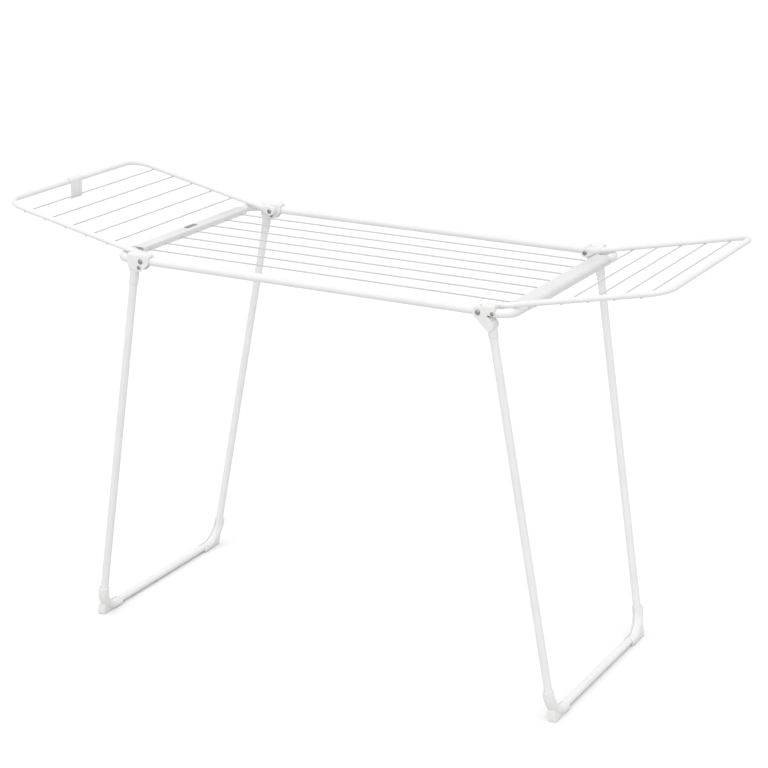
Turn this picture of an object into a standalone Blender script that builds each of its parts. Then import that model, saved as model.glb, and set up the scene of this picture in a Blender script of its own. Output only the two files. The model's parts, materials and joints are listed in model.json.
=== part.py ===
"""Folding clothes drying rack with two hinged wings.

The rack stands open: a deck of seven long wires between two wire carriers, two splayed
leg frames hinged under the rails and two wings that rest on the deck's rounded corners.

World frame: +Z up, X along the rack, Y across it, origin on the floor under the centre.
"front" is the -Y side, "left" the -X side.  All sizes are metres.
"""
import math

import bmesh
import bpy
from mathutils import Matrix, Vector

FRONT = -1
BACK = 1
LEFT = -1
RIGHT = 1
SIDE_NAME = {LEFT: "left", RIGHT: "right"}
END_NAME = {FRONT: "front", BACK: "back"}

# ---- general
GAP = 0.0003                    # clearance between pieces that touch
TUBE_SIDES = 12
WIRE_SIDES = 8
BEND_STEPS = 6

# ---- deck
RAIL_Y = 0.275                  # rail centre line, half the rail spacing
RAIL_Z = 0.873                  # rail centre line above the floor
RAIL_R = 0.009
RAIL_WALL = 0.0012
END_BAR_X = 0.4680              # centre line of the deck's end bars
DECK_BEND_R = 0.031
DECK_WIRE_COUNT = 7
DECK_WIRE_PITCH = 0.0627
DECK_WIRE_R = 0.0016
DECK_WIRE_END_X = 0.4550
CARRIER_HALF_LENGTH = 0.213
CARRIER_LIP_X = 0.4425          # inner face of the turned-down lip
CARRIER_THICKNESS = 0.0012
CARRIER_LIP_DEPTH = 0.0125
CARRIER_WRAP = math.radians(118)

# ---- hinges
PIVOT_X = 0.402                 # main rivet through the rail, axis along Y
RIVET_R = 0.003
HEAD_R = 0.0058
HEAD_H = 0.0026
SADDLE_WALL = 0.0025
SADDLE_TOP = 0.0172             # crown of the saddle above the rail centre line
SADDLE_SIDE = RAIL_R + GAP + SADDLE_WALL
SADDLE_CROWN_R = 0.0070
SADDLE_SKIRT_Z = -0.0050
SADDLE_LEFT_X0 = 0.3820
SADDLE_LEFT_X1 = 0.4357
SADDLE_RIGHT_X0 = 0.4090
SADDLE_RIGHT_X1 = 0.4367
SADDLE_RIVET_X = 0.4320
SADDLE_RIVET_R = 0.0022
CHEEK_THICKNESS = 0.0022
CHEEK_IN = SADDLE_SIDE + GAP
CHEEK_OUT = CHEEK_IN + CHEEK_THICKNESS
KNUCKLE_EAR_R = 0.0125
BOSS_R = 0.0062
BOSS_PROUD = 0.0008
EYE_R = 0.0100
EYE_IN = 0.0285                 # inner face of the wing's eye, from the rail's centre plane
LABEL_WIDTH = 0.0360
LABEL_DEPTH = 0.0080
LABEL_CORNER_R = 0.0020
LABEL_THICKNESS = 0.0005
LABEL_INSET = 0.0180            # label centre from the lip, along the carrier's flat

# ---- leg frames
LEG_R = 0.0085
LEG_WALL = 0.0012
LEG_BEND_R = 0.055
LEG_TAPER = 0.0357              # each leg leans inwards by this much per metre
FLOOR_BAR_Z = 0.0100
FOOT_X = 0.569                  # floor bar centre line from the middle of the rack
SLEEVE_R = 0.0100
SLEEVE_BORE_R = LEG_R + GAP + 0.0002
RIGHT_LEG_OFFSET = 0.0195       # leg axis outboard of its pivot
LEFT_LEG_OFFSET = 0.0168
LEFT_PIVOT_X = 0.4065           # the left leg pivots below the rail
LEFT_PIVOT_DROP = 0.0140
LEFT_PIN_R = 0.0025
LEG_TUBE_TOP = {LEFT: -0.0140, RIGHT: -0.0240}
FOOT_R = 0.0120
FOOT_OUTWARD = 0.0020           # the shell's middle line lies this far outside the tube's
FOOT_LEG_LENGTH = 0.060
FOOT_BAR_LENGTH = 0.066
FOOT_BORE_R = LEG_R + GAP
FOOT_SLOT_WIDTH = 0.0100        # the opening inside the bend, through which the foot snaps on
FOOT_TOE_Y = 0.2480             # upright outer face of the shoe, from the middle of the rack
FOOT_HEEL_Y = 0.1900
FOOT_SHOE_WIDTH = 0.0170
FOOT_SHOE_HEIGHT = 0.0300

# ---- wings
WING_Y = 0.2525                 # centre line of the wing's side tubes
WING_R = 0.0060
WING_RISE = 0.0019              # the wing tubes lie this far above their rivets, square to the wing
WING_WALL = 0.0010
WING_LENGTH = 0.3890            # pivot to the outer bar's centre line
WING_BEND_R = 0.045
WING_TUBE_START = 0.0155
WING_WIRE_COUNT = 5
WING_WIRE_R = 0.0015
WING_WIRE_FIRST = 0.1105
WING_WIRE_PITCH = 0.0560
WING_WIRE_HALF_LENGTH = 0.2565
WING_SLEEVE_R = 0.0076
WING_BORE_R = WING_R + GAP + 0.0002
WING_SLEEVE_END = 0.0400

# ---- clip on the left wing's outer bar
CLIP_WIDTH = 0.0420
CLIP_WALL = 0.0022
CLIP_DROP = 0.0400
CLIP_LIP = 0.0070


# ------------------------------------------------------------------ materials
def material(name, color, roughness, metallic=0.0):
    made = bpy.data.materials.get(name)
    if made:
        return made
    made = bpy.data.materials.new(name)
    made.use_nodes = True
    shader = made.node_tree.nodes["Principled BSDF"]
    shader.inputs["Base Color"].default_value = (*color, 1.0)
    shader.inputs["Roughness"].default_value = roughness
    shader.inputs["Metallic"].default_value = metallic
    return made


def white_coat():
    return material("white_powder_coat", (0.86, 0.86, 0.86), 0.38)


def wire_coat():
    return material("wire_coating", (0.80, 0.80, 0.80), 0.42)


def hinge_plastic():
    return material("hinge_plastic", (0.83, 0.83, 0.82), 0.45)


def foot_plastic():
    return material("foot_plastic", (0.84, 0.84, 0.83), 0.55)


def rivet_steel():
    return material("rivet_steel", (0.62, 0.62, 0.63), 0.22, 1.0)


def label_plastic():
    return material("label_dark", (0.05, 0.05, 0.06), 0.5)


# ------------------------------------------------------------------ objects
def hinge_empty(name, location, tilt, parent=None):
    """An empty on a joint's axis, turned about Y so that its piece is modelled square."""
    empty = bpy.data.objects.new(name, None)
    bpy.context.collection.objects.link(empty)
    empty.parent = parent
    empty.location = location
    empty.rotation_euler = (0.0, tilt, 0.0)
    return empty


def finish_mesh(name, bm, mat, parent=None, sharp=30.0):
    bmesh.ops.recalc_face_normals(bm, faces=bm.faces)
    mesh = bpy.data.meshes.new(name)
    bm.to_mesh(mesh)
    bm.free()
    mesh.materials.append(mat)
    mesh.shade_smooth()
    mesh.set_sharp_from_angle(angle=math.radians(sharp))
    made = bpy.data.objects.new(name, mesh)
    bpy.context.collection.objects.link(made)
    made.parent = parent
    return made


def combine(target, other, operation):
    """Apply one exact Boolean to target and remove the other object."""
    modifier = target.modifiers.new("combine", "BOOLEAN")
    modifier.operation = operation
    modifier.solver = "EXACT"
    modifier.object = other
    bpy.context.view_layer.update()
    graph = bpy.context.evaluated_depsgraph_get()
    mesh = bpy.data.meshes.new_from_object(target.evaluated_get(graph))
    target.modifiers.remove(modifier)
    target.data = mesh
    mesh.shade_smooth()
    mesh.set_sharp_from_angle(angle=math.radians(30.0))
    bpy.data.objects.remove(other)
    return target


# ------------------------------------------------------------------ shape tools
def arc(center, radius, start, stop, steps):
    """Points on a circle in a plane, both ends included."""
    return [(center[0] + radius * math.cos(start + (stop - start) * i / steps),
             center[1] + radius * math.sin(start + (stop - start) * i / steps))
            for i in range(steps + 1)]


def rounded_path(corners, bend, closed):
    """A plane route through corners, with every inner corner bent to one radius."""
    count = len(corners)
    route = []
    for i, corner in enumerate(corners):
        here = Vector(corner)
        if not closed and i in (0, count - 1):
            route.append(here)
            continue
        back = (Vector(corners[i - 1]) - here).normalized()
        ahead = (Vector(corners[(i + 1) % count]) - here).normalized()
        half = back.angle(ahead) / 2.0
        center = here + (back + ahead).normalized() * (bend / math.sin(half))
        first = here + back * (bend / math.tan(half)) - center
        last = here + ahead * (bend / math.tan(half)) - center
        turn = first.angle_signed(last)
        for step in range(BEND_STEPS + 1):
            angle = -turn * step / BEND_STEPS
            spoke = Matrix.Rotation(angle, 2) @ first
            route.append(center + spoke)
    return route


def sweep(bm, route, to_3d, normal, radius, sides, closed):
    """Rings of vertices along a plane route; returns the rings, joined by quads."""
    rings = []
    count = len(route)
    for i, point in enumerate(route):
        previous = route[i - 1] if (closed or i > 0) else None
        following = route[(i + 1) % count] if (closed or i < count - 1) else None
        before = (point - previous).normalized() if previous is not None else None
        after = (following - point).normalized() if following is not None else None
        along = ((before or after) + (after or before)).normalized()
        stretch = 1.0 / max(0.2, along.dot(after or before))
        across = Vector((along.y, -along.x)) * stretch
        ring = []
        for k in range(sides):
            angle = math.tau * (k + 0.5) / sides
            flat = point + across * (radius * math.cos(angle))
            ring.append(bm.verts.new(to_3d(flat) + normal * (radius * math.sin(angle))))
        rings.append(ring)
    pairs = list(zip(rings, rings[1:]))
    if closed:
        pairs.append((rings[-1], rings[0]))
    for one, two in pairs:
        for k in range(sides):
            n = (k + 1) % sides
            bm.faces.new((one[k], one[n], two[n], two[k]))
    return rings


def join_ends(bm, outer, inner):
    """An annular face strip between two rings of equal count."""
    sides = len(outer)
    for k in range(sides):
        n = (k + 1) % sides
        bm.faces.new((outer[k], outer[n], inner[n], inner[k]))


def hollow_tube(bm, route, to_3d, normal, radius, wall):
    """An open-ended round tube along a plane route."""
    outer = sweep(bm, route, to_3d, normal, radius, TUBE_SIDES, False)
    inner = sweep(bm, route, to_3d, normal, radius - wall, TUBE_SIDES, False)
    join_ends(bm, outer[0], inner[0])
    join_ends(bm, outer[-1], inner[-1])


def solid_bar(bm, route, to_3d, normal, radius):
    """A round bar along a plane route, closed at both ends."""
    rings = sweep(bm, route, to_3d, normal, radius, TUBE_SIDES, False)
    bm.faces.new(rings[0])
    bm.faces.new(rings[-1])


def cylinder(name, start, stop, radius, sides, parent=None, mat=None, phase=0.5):
    """A closed cylinder between two points."""
    start = Vector(start)
    stop = Vector(stop)
    axis = (stop - start).normalized()
    side = axis.orthogonal().normalized()
    if abs(axis.y) > 0.9:
        side = Vector((1.0, 0.0, 0.0))
    up = axis.cross(side)
    bm = bmesh.new()
    rings = []
    for end in (start, stop):
        ring = [bm.verts.new(end + radius * (side * math.cos(math.tau * (k + phase) / sides)
                                             + up * math.sin(math.tau * (k + phase) / sides)))
                for k in range(sides)]
        rings.append(ring)
        bm.faces.new(ring)
    join_ends(bm, rings[0], rings[1])
    return finish_mesh(name, bm, mat or white_coat(), parent)


def plate(name, outline, y0, y1, parent=None, mat=None):
    """A closed outline in the XZ plane, thick along Y."""
    bm = bmesh.new()
    rings = [[bm.verts.new((x, y, z)) for x, z in outline] for y in (y0, y1)]
    for ring in rings:
        bm.faces.new(ring)
    join_ends(bm, rings[0], rings[1])
    return finish_mesh(name, bm, mat or hinge_plastic(), parent)


def bar_along_x(name, outline, x0, x1, parent=None, mat=None):
    """A closed outline in the YZ plane, long along X."""
    bm = bmesh.new()
    rings = [[bm.verts.new((x, y, z)) for y, z in outline] for x in (x0, x1)]
    for ring in rings:
        bm.faces.new(ring)
    join_ends(bm, rings[0], rings[1])
    return finish_mesh(name, bm, mat or hinge_plastic(), parent)


def across_bore(x, y, z, radius, parent=None):
    """A cutter along Y for a rivet, with clearance all round."""
    reach = 2.0 * EYE_IN
    return cylinder("hole", (x, y - reach, z), (x, y + reach, z), radius + GAP, 10, parent)


def turned(name, profile, center, sign, sides, parent=None, mat=None):
    """A solid of revolution about Y: profile holds (radius, distance) pairs, poles first and last."""
    bm = bmesh.new()
    rings = []
    for radius, reach in profile:
        if radius == 0.0:
            rings.append([bm.verts.new((center[0], center[1] + sign * reach, center[2]))])
            continue
        rings.append([bm.verts.new((center[0] + radius * math.cos(math.tau * (k + 0.5) / sides),
                                    center[1] + sign * reach,
                                    center[2] + radius * math.sin(math.tau * (k + 0.5) / sides)))
                      for k in range(sides)])
    for one, two in zip(rings, rings[1:]):
        for k in range(sides):
            n = (k + 1) % sides
            if len(one) == 1:
                bm.faces.new((one[0], two[n], two[k]))
            elif len(two) == 1:
                bm.faces.new((one[k], one[n], two[0]))
            else:
                bm.faces.new((one[k], one[n], two[n], two[k]))
    return finish_mesh(name, bm, mat or rivet_steel(), parent)


def hull_outline(circles, steps=5):
    """The outline of the convex hull of circles, as arcs; circles hold (x, z, radius)."""
    points = []
    sides = steps * 8
    for x, z, radius in circles:
        points += arc((x, z), radius, 0.0, math.tau, sides)[:-1]
    points = sorted(set((round(x, 7), round(z, 7)) for x, z in points))

    def half(sequence):
        chain = []
        for point in sequence:
            while len(chain) > 1:
                (ax, az), (bx, bz) = chain[-2], chain[-1]
                if (bx - ax) * (point[1] - az) - (bz - az) * (point[0] - ax) > 1e-10:
                    break
                chain.pop()
            chain.append(point)
        return chain[:-1]
    return half(points) + half(points[::-1])


# ------------------------------------------------------------------ worked-out places
def bend_point(angle):
    """A point on the centre line of the deck's front right corner bend, seen from above."""
    return (END_BAR_X - DECK_BEND_R + DECK_BEND_R * math.cos(angle),
            RAIL_Y - DECK_BEND_R + DECK_BEND_R * math.sin(angle))


def wing_clearance(tilt):
    """Least distance between a wing side tube's centre line and the deck corner's."""
    along = Vector((math.cos(tilt), 0.0, math.sin(tilt)))
    risen = Vector((-math.sin(tilt), 0.0, math.cos(tilt))) * WING_RISE
    least = 1.0
    for step in range(91):
        x, y = bend_point(math.radians(step))
        spoke = Vector((x - PIVOT_X, y - WING_Y, 0.0)) - risen
        least = min(least, (spoke - along * spoke.dot(along)).length)
    return least


def rest_tilt():
    """The wing's slope where its side tubes rest on the deck's corners."""
    low = 0.05
    high = 0.5
    for _ in range(40):
        middle = (low + high) / 2.0
        if wing_clearance(middle) < RAIL_R + WING_R + GAP:
            low = middle
        else:
            high = middle
    return high


def leg_splay(pivot_x, pivot_z, offset):
    """Splay angle and leg length, so that the floor bar's centre line lands on its place."""
    reach_x = FOOT_X - pivot_x
    reach_z = pivot_z - FLOOR_BAR_Z
    straight = math.hypot(reach_x, reach_z)
    length = math.sqrt(straight ** 2 - offset ** 2)
    angle = math.atan2(reach_x, reach_z) - math.atan2(offset, length)
    return angle, length


WING_TILT = rest_tilt()
LEG_PIVOT = {RIGHT: (PIVOT_X, RAIL_Z), LEFT: (LEFT_PIVOT_X, RAIL_Z - LEFT_PIVOT_DROP)}
LEG_OFFSET = {RIGHT: RIGHT_LEG_OFFSET, LEFT: LEFT_LEG_OFFSET}
LEG_ANGLE = {}
LEG_LENGTH = {}
for leg_side in (LEFT, RIGHT):
    LEG_ANGLE[leg_side], LEG_LENGTH[leg_side] = leg_splay(*LEG_PIVOT[leg_side], LEG_OFFSET[leg_side])


# ------------------------------------------------------------------ deck
def strip_outline(path, thickness):
    """A closed outline of even thickness around an open plane route."""
    left = []
    right = []
    for i, point in enumerate(path):
        here = Vector(point)
        before = (here - Vector(path[i - 1])).normalized() if i else None
        after = (Vector(path[i + 1]) - here).normalized() if i < len(path) - 1 else None
        along = ((before or after) + (after or before)).normalized()
        reach = thickness / 2.0 / along.dot(after or before)
        across = Vector((-along.y, along.x)) * reach
        left.append(tuple(here + across))
        right.append(tuple(here - across))
    return left + right[::-1]


def joined(name, pieces):
    """Several closed shapes as one cutter."""
    bm = bmesh.new()
    for piece in pieces:
        bm.from_mesh(piece.data)
        bpy.data.objects.remove(piece)
    return finish_mesh(name, bm, white_coat())


def make_deck_frame():
    corners = [(s * END_BAR_X, e * RAIL_Y) for s, e in ((1, -1), (1, 1), (-1, 1), (-1, -1))]
    route = rounded_path(corners, DECK_BEND_R, True)
    up = Vector((0.0, 0.0, 1.0))

    def at_rail_height(flat):
        return Vector((flat.x, flat.y, RAIL_Z))

    def loop(name, radius):
        bm = bmesh.new()
        sweep(bm, route, at_rail_height, up, radius, TUBE_SIDES, True)
        return finish_mesh(name, bm, white_coat())

    frame = loop("deck_frame", RAIL_R)
    combine(frame, loop("bore", RAIL_R - RAIL_WALL), "DIFFERENCE")
    for y in (-RAIL_Y, RAIL_Y):
        for x, radius in ((-PIVOT_X, RIVET_R), (PIVOT_X, RIVET_R), (SADDLE_RIVET_X, SADDLE_RIVET_R)):
            combine(frame, across_bore(x, y, RAIL_Z, radius), "DIFFERENCE")
    return frame


def deck_wire_y(index):
    return (index - (DECK_WIRE_COUNT - 1) / 2.0) * DECK_WIRE_PITCH


def make_wire_carrier(side):
    """A pressed steel strip that wraps the end bar and turns down to a lip with wire holes."""
    middle_r = RAIL_R + GAP + CARRIER_THICKNESS / 2.0
    wrap = arc((END_BAR_X, RAIL_Z), middle_r, math.pi / 2.0 - CARRIER_WRAP, math.pi / 2.0, 9)
    fold_r = 0.0020
    lip_x = CARRIER_LIP_X + CARRIER_THICKNESS / 2.0
    fold = arc((lip_x + fold_r, RAIL_Z + middle_r - fold_r), fold_r, math.pi / 2.0, math.pi, 3)
    path = wrap + fold + [(lip_x, RAIL_Z + middle_r - CARRIER_LIP_DEPTH)]
    outline = [(side * x, z) for x, z in strip_outline(path, CARRIER_THICKNESS)]
    carrier = plate("wire_carrier_" + SIDE_NAME[side], outline,
                    -CARRIER_HALF_LENGTH, CARRIER_HALF_LENGTH, mat=white_coat())

    reach = 4.0 * CARRIER_THICKNESS
    holes = []
    for i in range(DECK_WIRE_COUNT):
        start = (side * (lip_x - reach), deck_wire_y(i), RAIL_Z)
        stop = (side * (lip_x + reach), deck_wire_y(i), RAIL_Z)
        holes.append(cylinder("hole", start, stop, DECK_WIRE_R + GAP, WIRE_SIDES))
    return combine(carrier, joined("holes", holes), "DIFFERENCE")


def make_deck_wires():
    for i in range(DECK_WIRE_COUNT):
        y = deck_wire_y(i)
        cylinder("deck_wire_%d" % (i + 1), (-DECK_WIRE_END_X, y, RAIL_Z), (DECK_WIRE_END_X, y, RAIL_Z),
                 DECK_WIRE_R, WIRE_SIDES, mat=wire_coat())


def make_blank_label():
    """A plain dark plate on the flat of the left wire carrier, with no lettering."""
    z0 = RAIL_Z + RAIL_R + CARRIER_THICKNESS + 2.0 * GAP
    x0 = -(CARRIER_LIP_X + LABEL_INSET)
    outline = hull_outline([(x, y, LABEL_CORNER_R) for x in (x0 - LABEL_DEPTH / 2.0, x0 + LABEL_DEPTH / 2.0)
                            for y in (-LABEL_WIDTH / 2.0, LABEL_WIDTH / 2.0)], 1)
    bm = bmesh.new()
    rings = [[bm.verts.new((x, y, z)) for x, y in outline] for z in (z0, z0 + LABEL_THICKNESS)]
    for ring in rings:
        bm.faces.new(ring)
    join_ends(bm, rings[0], rings[1])
    return finish_mesh("blank_label", bm, label_plastic())


# ------------------------------------------------------------------ rail saddles and rivets
def channel_outline():
    """The room for the rail inside a saddle, open downwards."""
    inner = RAIL_R + GAP
    below = RAIL_Z - 3.0 * RAIL_R
    return [(inner, below)] + arc((0.0, RAIL_Z), inner, 0.0, math.pi, 8) + [(-inner, below)]


def crown_outline(low_z):
    """The saddle's cross-section: upright sides and a rounded crown."""
    side = SADDLE_SIDE - SADDLE_CROWN_R
    top = RAIL_Z + SADDLE_TOP - SADDLE_CROWN_R
    right = arc((side, top), SADDLE_CROWN_R, 0.0, math.pi / 2.0, 4)
    left = arc((-side, top), SADDLE_CROWN_R, math.pi / 2.0, math.pi, 4)
    return [(SADDLE_SIDE, RAIL_Z + low_z)] + right + left + [(-SADDLE_SIDE, RAIL_Z + low_z)]


def shifted(outline, y):
    return [(a + y, b) for a, b in outline]


def make_right_saddle(end):
    """A clip-on hump over the rail, held by its own rivet."""
    y = end * RAIL_Y
    saddle = bar_along_x("rail_saddle_right_" + END_NAME[end], shifted(crown_outline(SADDLE_SKIRT_Z), y),
                         SADDLE_RIGHT_X0, SADDLE_RIGHT_X1)
    margin = 0.01
    channel = bar_along_x("channel", shifted(channel_outline(), y),
                          SADDLE_RIGHT_X0 - margin, SADDLE_RIGHT_X1 + margin)
    combine(saddle, channel, "DIFFERENCE")
    return combine(saddle, across_bore(SADDLE_RIVET_X, y, RAIL_Z, SADDLE_RIVET_R), "DIFFERENCE")


def left_saddle_outline():
    """Side view of the left bracket: a box over the rail with a chin round the leg pin."""
    box_r = 0.0060
    chin_r = 0.0095
    top = RAIL_Z + SADDLE_TOP - box_r
    pin_z = RAIL_Z - LEFT_PIVOT_DROP
    return hull_outline([(-SADDLE_LEFT_X1 + box_r, top, box_r), (-SADDLE_LEFT_X0 - box_r, top, box_r),
                         (-SADDLE_LEFT_X1 + box_r, pin_z, box_r), (-LEFT_PIVOT_X, pin_z, chin_r),
                         (-SADDLE_LEFT_X0 - chin_r, RAIL_Z, chin_r)], 3)


def make_left_saddle(end):
    """A deeper bracket over the rail that carries the wing rivet and, below the rail, the leg pin."""
    y = end * RAIL_Y
    margin = 0.02
    x0 = -SADDLE_LEFT_X1 - margin
    x1 = -SADDLE_LEFT_X0 + margin
    saddle = plate("rail_saddle_left_" + END_NAME[end], left_saddle_outline(),
                   y - SADDLE_SIDE, y + SADDLE_SIDE)
    combine(saddle, bar_along_x("crown", shifted(crown_outline(-2.0 * SADDLE_TOP), y), x0, x1), "INTERSECT")
    combine(saddle, bar_along_x("channel", shifted(channel_outline(), y), x0, x1), "DIFFERENCE")
    combine(saddle, across_bore(-PIVOT_X, y, RAIL_Z, RIVET_R), "DIFFERENCE")
    return combine(saddle, across_bore(-LEFT_PIVOT_X, y, RAIL_Z - LEFT_PIVOT_DROP, LEFT_PIN_R), "DIFFERENCE")


def make_rivet(name, x, z, end, seats, shank_r, head, tail):
    """A rivet along Y; seats are the distances outwards and inwards from the rail's centre plane."""
    outer, inner = seats
    head_r, head_h = head
    tail_r, tail_h = tail
    profile = [(0.0, outer + head_h), (head_r * 0.55, outer + head_h * 0.86),
               (head_r * 0.90, outer + head_h * 0.42), (head_r, outer),
               (shank_r, outer), (shank_r, -inner), (tail_r, -inner),
               (tail_r * 0.85, -inner - tail_h), (0.0, -inner - tail_h)]
    return turned(name, profile, (x, end * RAIL_Y, z), end, 12)


def make_rivets(end):
    place = END_NAME[end]
    saddle_seat = SADDLE_SIDE + GAP
    cheek_seat = CHEEK_OUT + GAP
    eye_seat = EYE_IN + GAP
    wing_head = (HEAD_R, HEAD_H)
    wing_tail = (0.0052, 0.0016)
    make_rivet("wing_rivet_left_" + place, -PIVOT_X, RAIL_Z, end, (saddle_seat, eye_seat),
               RIVET_R, wing_head, wing_tail)
    make_rivet("wing_rivet_right_" + place, PIVOT_X, RAIL_Z, end, (cheek_seat, eye_seat),
               RIVET_R, wing_head, wing_tail)
    make_rivet("leg_rivet_left_" + place, -LEFT_PIVOT_X, RAIL_Z - LEFT_PIVOT_DROP, end,
               (saddle_seat, saddle_seat), LEFT_PIN_R, (0.0046, 0.0020), (0.0040, 0.0013))
    make_rivet("saddle_rivet_right_" + place, SADDLE_RIVET_X, RAIL_Z, end,
               (saddle_seat, saddle_seat), SADDLE_RIVET_R, (0.0044, 0.0014), (0.0040, 0.0012))


# ------------------------------------------------------------------ legs
ACROSS_LEG = Vector((1.0, 0.0, 0.0))


def leg_y(z):
    """Distance of a leg's centre line from the middle, z measured from its pivot in its own frame."""
    return RAIL_Y + LEG_TAPER * z


def in_leg_plane(side):
    """Turns a flat (y, z) point into a point of the leg frame's own plane."""
    return lambda flat: Vector((side * LEG_OFFSET[side], flat.x, flat.y))


def make_leg_frame(side, hinge):
    top = LEG_TUBE_TOP[side]
    length = LEG_LENGTH[side]
    corners = [(-leg_y(top), top), (-leg_y(-length), -length), (leg_y(-length), -length), (leg_y(top), top)]
    bm = bmesh.new()
    hollow_tube(bm, rounded_path(corners, LEG_BEND_R, False), in_leg_plane(side), ACROSS_LEG, LEG_R, LEG_WALL)
    return finish_mesh("leg_frame_" + SIDE_NAME[side], bm, white_coat(), hinge)


def foot_route(side, end, extra, outward):
    """A foot's middle line, longer by extra at both ends and moved outside the tube's bend by outward."""
    low = -LEG_LENGTH[side] - outward
    up = -LEG_LENGTH[side] + FOOT_LEG_LENGTH + extra
    heel_y = leg_y(-LEG_LENGTH[side]) - FOOT_BAR_LENGTH - extra
    corners = [(leg_y(up) + outward, up), (leg_y(low) + outward, low), (heel_y, low)]
    return rounded_path([(end * y, z) for y, z in corners], LEG_BEND_R + outward, False)


def elbow(name, side, end, extra, outward, radius, hinge):
    bm = bmesh.new()
    solid_bar(bm, foot_route(side, end, extra, outward), in_leg_plane(side), ACROSS_LEG, radius)
    return finish_mesh(name, bm, foot_plastic(), hinge)


def leg_plane_plate(name, outline, side, thickness, hinge):
    """A closed outline in the leg's own plane, thick across it."""
    x = side * LEG_OFFSET[side]
    bm = bmesh.new()
    rings = [[bm.verts.new((x + reach, y, z)) for y, z in outline]
             for reach in (-thickness / 2.0, thickness / 2.0)]
    for ring in rings:
        bm.faces.new(ring)
    join_ends(bm, rings[0], rings[1])
    return finish_mesh(name, bm, foot_plastic(), hinge)


def ground_block(x, y):
    """A cutter whose top is the floor."""
    size = 0.25
    bm = bmesh.new()
    bmesh.ops.create_cube(bm, size=size)
    bmesh.ops.translate(bm, vec=(x, y, -size / 2.0), verts=bm.verts)
    return finish_mesh("ground", bm, foot_plastic())


def make_foot(side, end, hinge):
    """A snap-on shell over the bent corner, open along the inside of the bend, with a square-toed shoe."""
    floor = -LEG_LENGTH[side]
    longer = 0.01
    foot = elbow("foot_%s_%s" % (SIDE_NAME[side], END_NAME[end]), side, end, 0.0, FOOT_OUTWARD, FOOT_R, hinge)
    shoe = [(end * FOOT_TOE_Y, floor - 2.0 * FOOT_R), (end * FOOT_TOE_Y, floor + FOOT_SHOE_HEIGHT / 2.0),
            (end * (FOOT_TOE_Y - FOOT_SHOE_HEIGHT), floor), (end * FOOT_HEEL_Y, floor),
            (end * FOOT_HEEL_Y, floor - 2.0 * FOOT_R)]
    combine(foot, leg_plane_plate("shoe", shoe, side, FOOT_SHOE_WIDTH, hinge), "UNION")
    combine(foot, elbow("bore", side, end, longer, 0.0, FOOT_BORE_R, hinge), "DIFFERENCE")
    slot = [tuple(point) for point in foot_route(side, end, longer, 0.0)]
    slot.append((slot[-1][0], slot[0][1]))
    combine(foot, leg_plane_plate("slot", slot, side, FOOT_SLOT_WIDTH, hinge), "DIFFERENCE")
    return combine(foot, ground_block(side * FOOT_X, end * leg_y(floor)), "DIFFERENCE")


def add_sleeve(knuckle, side, end, hinge, z0, z1, tube_top):
    """Join the round socket to a knuckle and bore it for the leg tube."""
    x = side * LEG_OFFSET[side]

    def at(z):
        return (x, end * leg_y(z), z)

    sleeve = cylinder("sleeve", at(z0), at(z1), SLEEVE_R, TUBE_SIDES, hinge)
    combine(knuckle, sleeve, "UNION")
    bore = cylinder("bore", at(tube_top + 2.0 * GAP), at(z1 - 0.01), SLEEVE_BORE_R, TUBE_SIDES, hinge)
    combine(knuckle, bore, "DIFFERENCE")


def make_right_knuckle(end, hinge):
    """Leg socket with two cheeks that hold the rail between them and turn on the wing rivet."""
    side = RIGHT
    y = end * RAIL_Y
    offset = RIGHT_LEG_OFFSET
    slope = math.tan(LEG_ANGLE[side])
    outline = hull_outline([(0.0, 0.0, KNUCKLE_EAR_R), (offset, -0.0300, SLEEVE_R)], 3)
    knuckle = plate("leg_knuckle_right_" + END_NAME[end], outline, y - CHEEK_OUT, y + CHEEK_OUT, hinge)

    def shoulder(x):
        return -(RAIL_R + GAP) / math.cos(LEG_ANGLE[side]) - x * slope

    face = RAIL_R + 2.5 * GAP
    slot = [(-0.03, 0.03), (-0.03, -0.06), (face, -0.06), (face, shoulder(face)), (0.05, shoulder(0.05)),
            (0.05, 0.03)]
    combine(knuckle, plate("slot", slot, y - CHEEK_IN, y + CHEEK_IN, hinge), "DIFFERENCE")
    for sign in (-1.0, 1.0):
        boss = cylinder("boss", (0.0, y + sign * (RAIL_R + GAP), 0.0),
                        (0.0, y + sign * (CHEEK_IN + BOSS_PROUD), 0.0), BOSS_R, 10, hinge)
        combine(knuckle, boss, "UNION")
    add_sleeve(knuckle, side, end, hinge, -0.0200, -0.0560, LEG_TUBE_TOP[side])
    return combine(knuckle, across_bore(0.0, y, 0.0, RIVET_R, hinge), "DIFFERENCE")


def make_left_knuckle(end, hinge):
    """Leg socket with a tongue that turns on the pin under the rail."""
    side = LEFT
    y = end * RAIL_Y
    offset = LEFT_LEG_OFFSET
    angle = LEG_ANGLE[side]
    slope = math.tan(angle)
    boss_r = LEFT_PIVOT_DROP - RAIL_R - 1.5 * GAP

    def under_rail(x):
        return (LEFT_PIVOT_DROP - RAIL_R - GAP) / math.cos(angle) - x * slope

    near = offset - LEG_R
    far = offset + LEG_R
    root_z = -0.0160
    outline = arc((0.0, 0.0), boss_r, math.pi / 2.0 - angle, math.pi * 1.5, 7)
    outline += [(near, root_z), (far, root_z), (far, under_rail(far))]
    outline = [(side * x, z) for x, z in outline]
    knuckle = plate("leg_knuckle_left_" + END_NAME[end], outline, y - RAIL_R, y + RAIL_R, hinge)
    add_sleeve(knuckle, side, end, hinge, -0.0106, -0.0445, LEG_TUBE_TOP[side])
    return combine(knuckle, across_bore(0.0, y, 0.0, LEFT_PIN_R, hinge), "DIFFERENCE")


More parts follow.
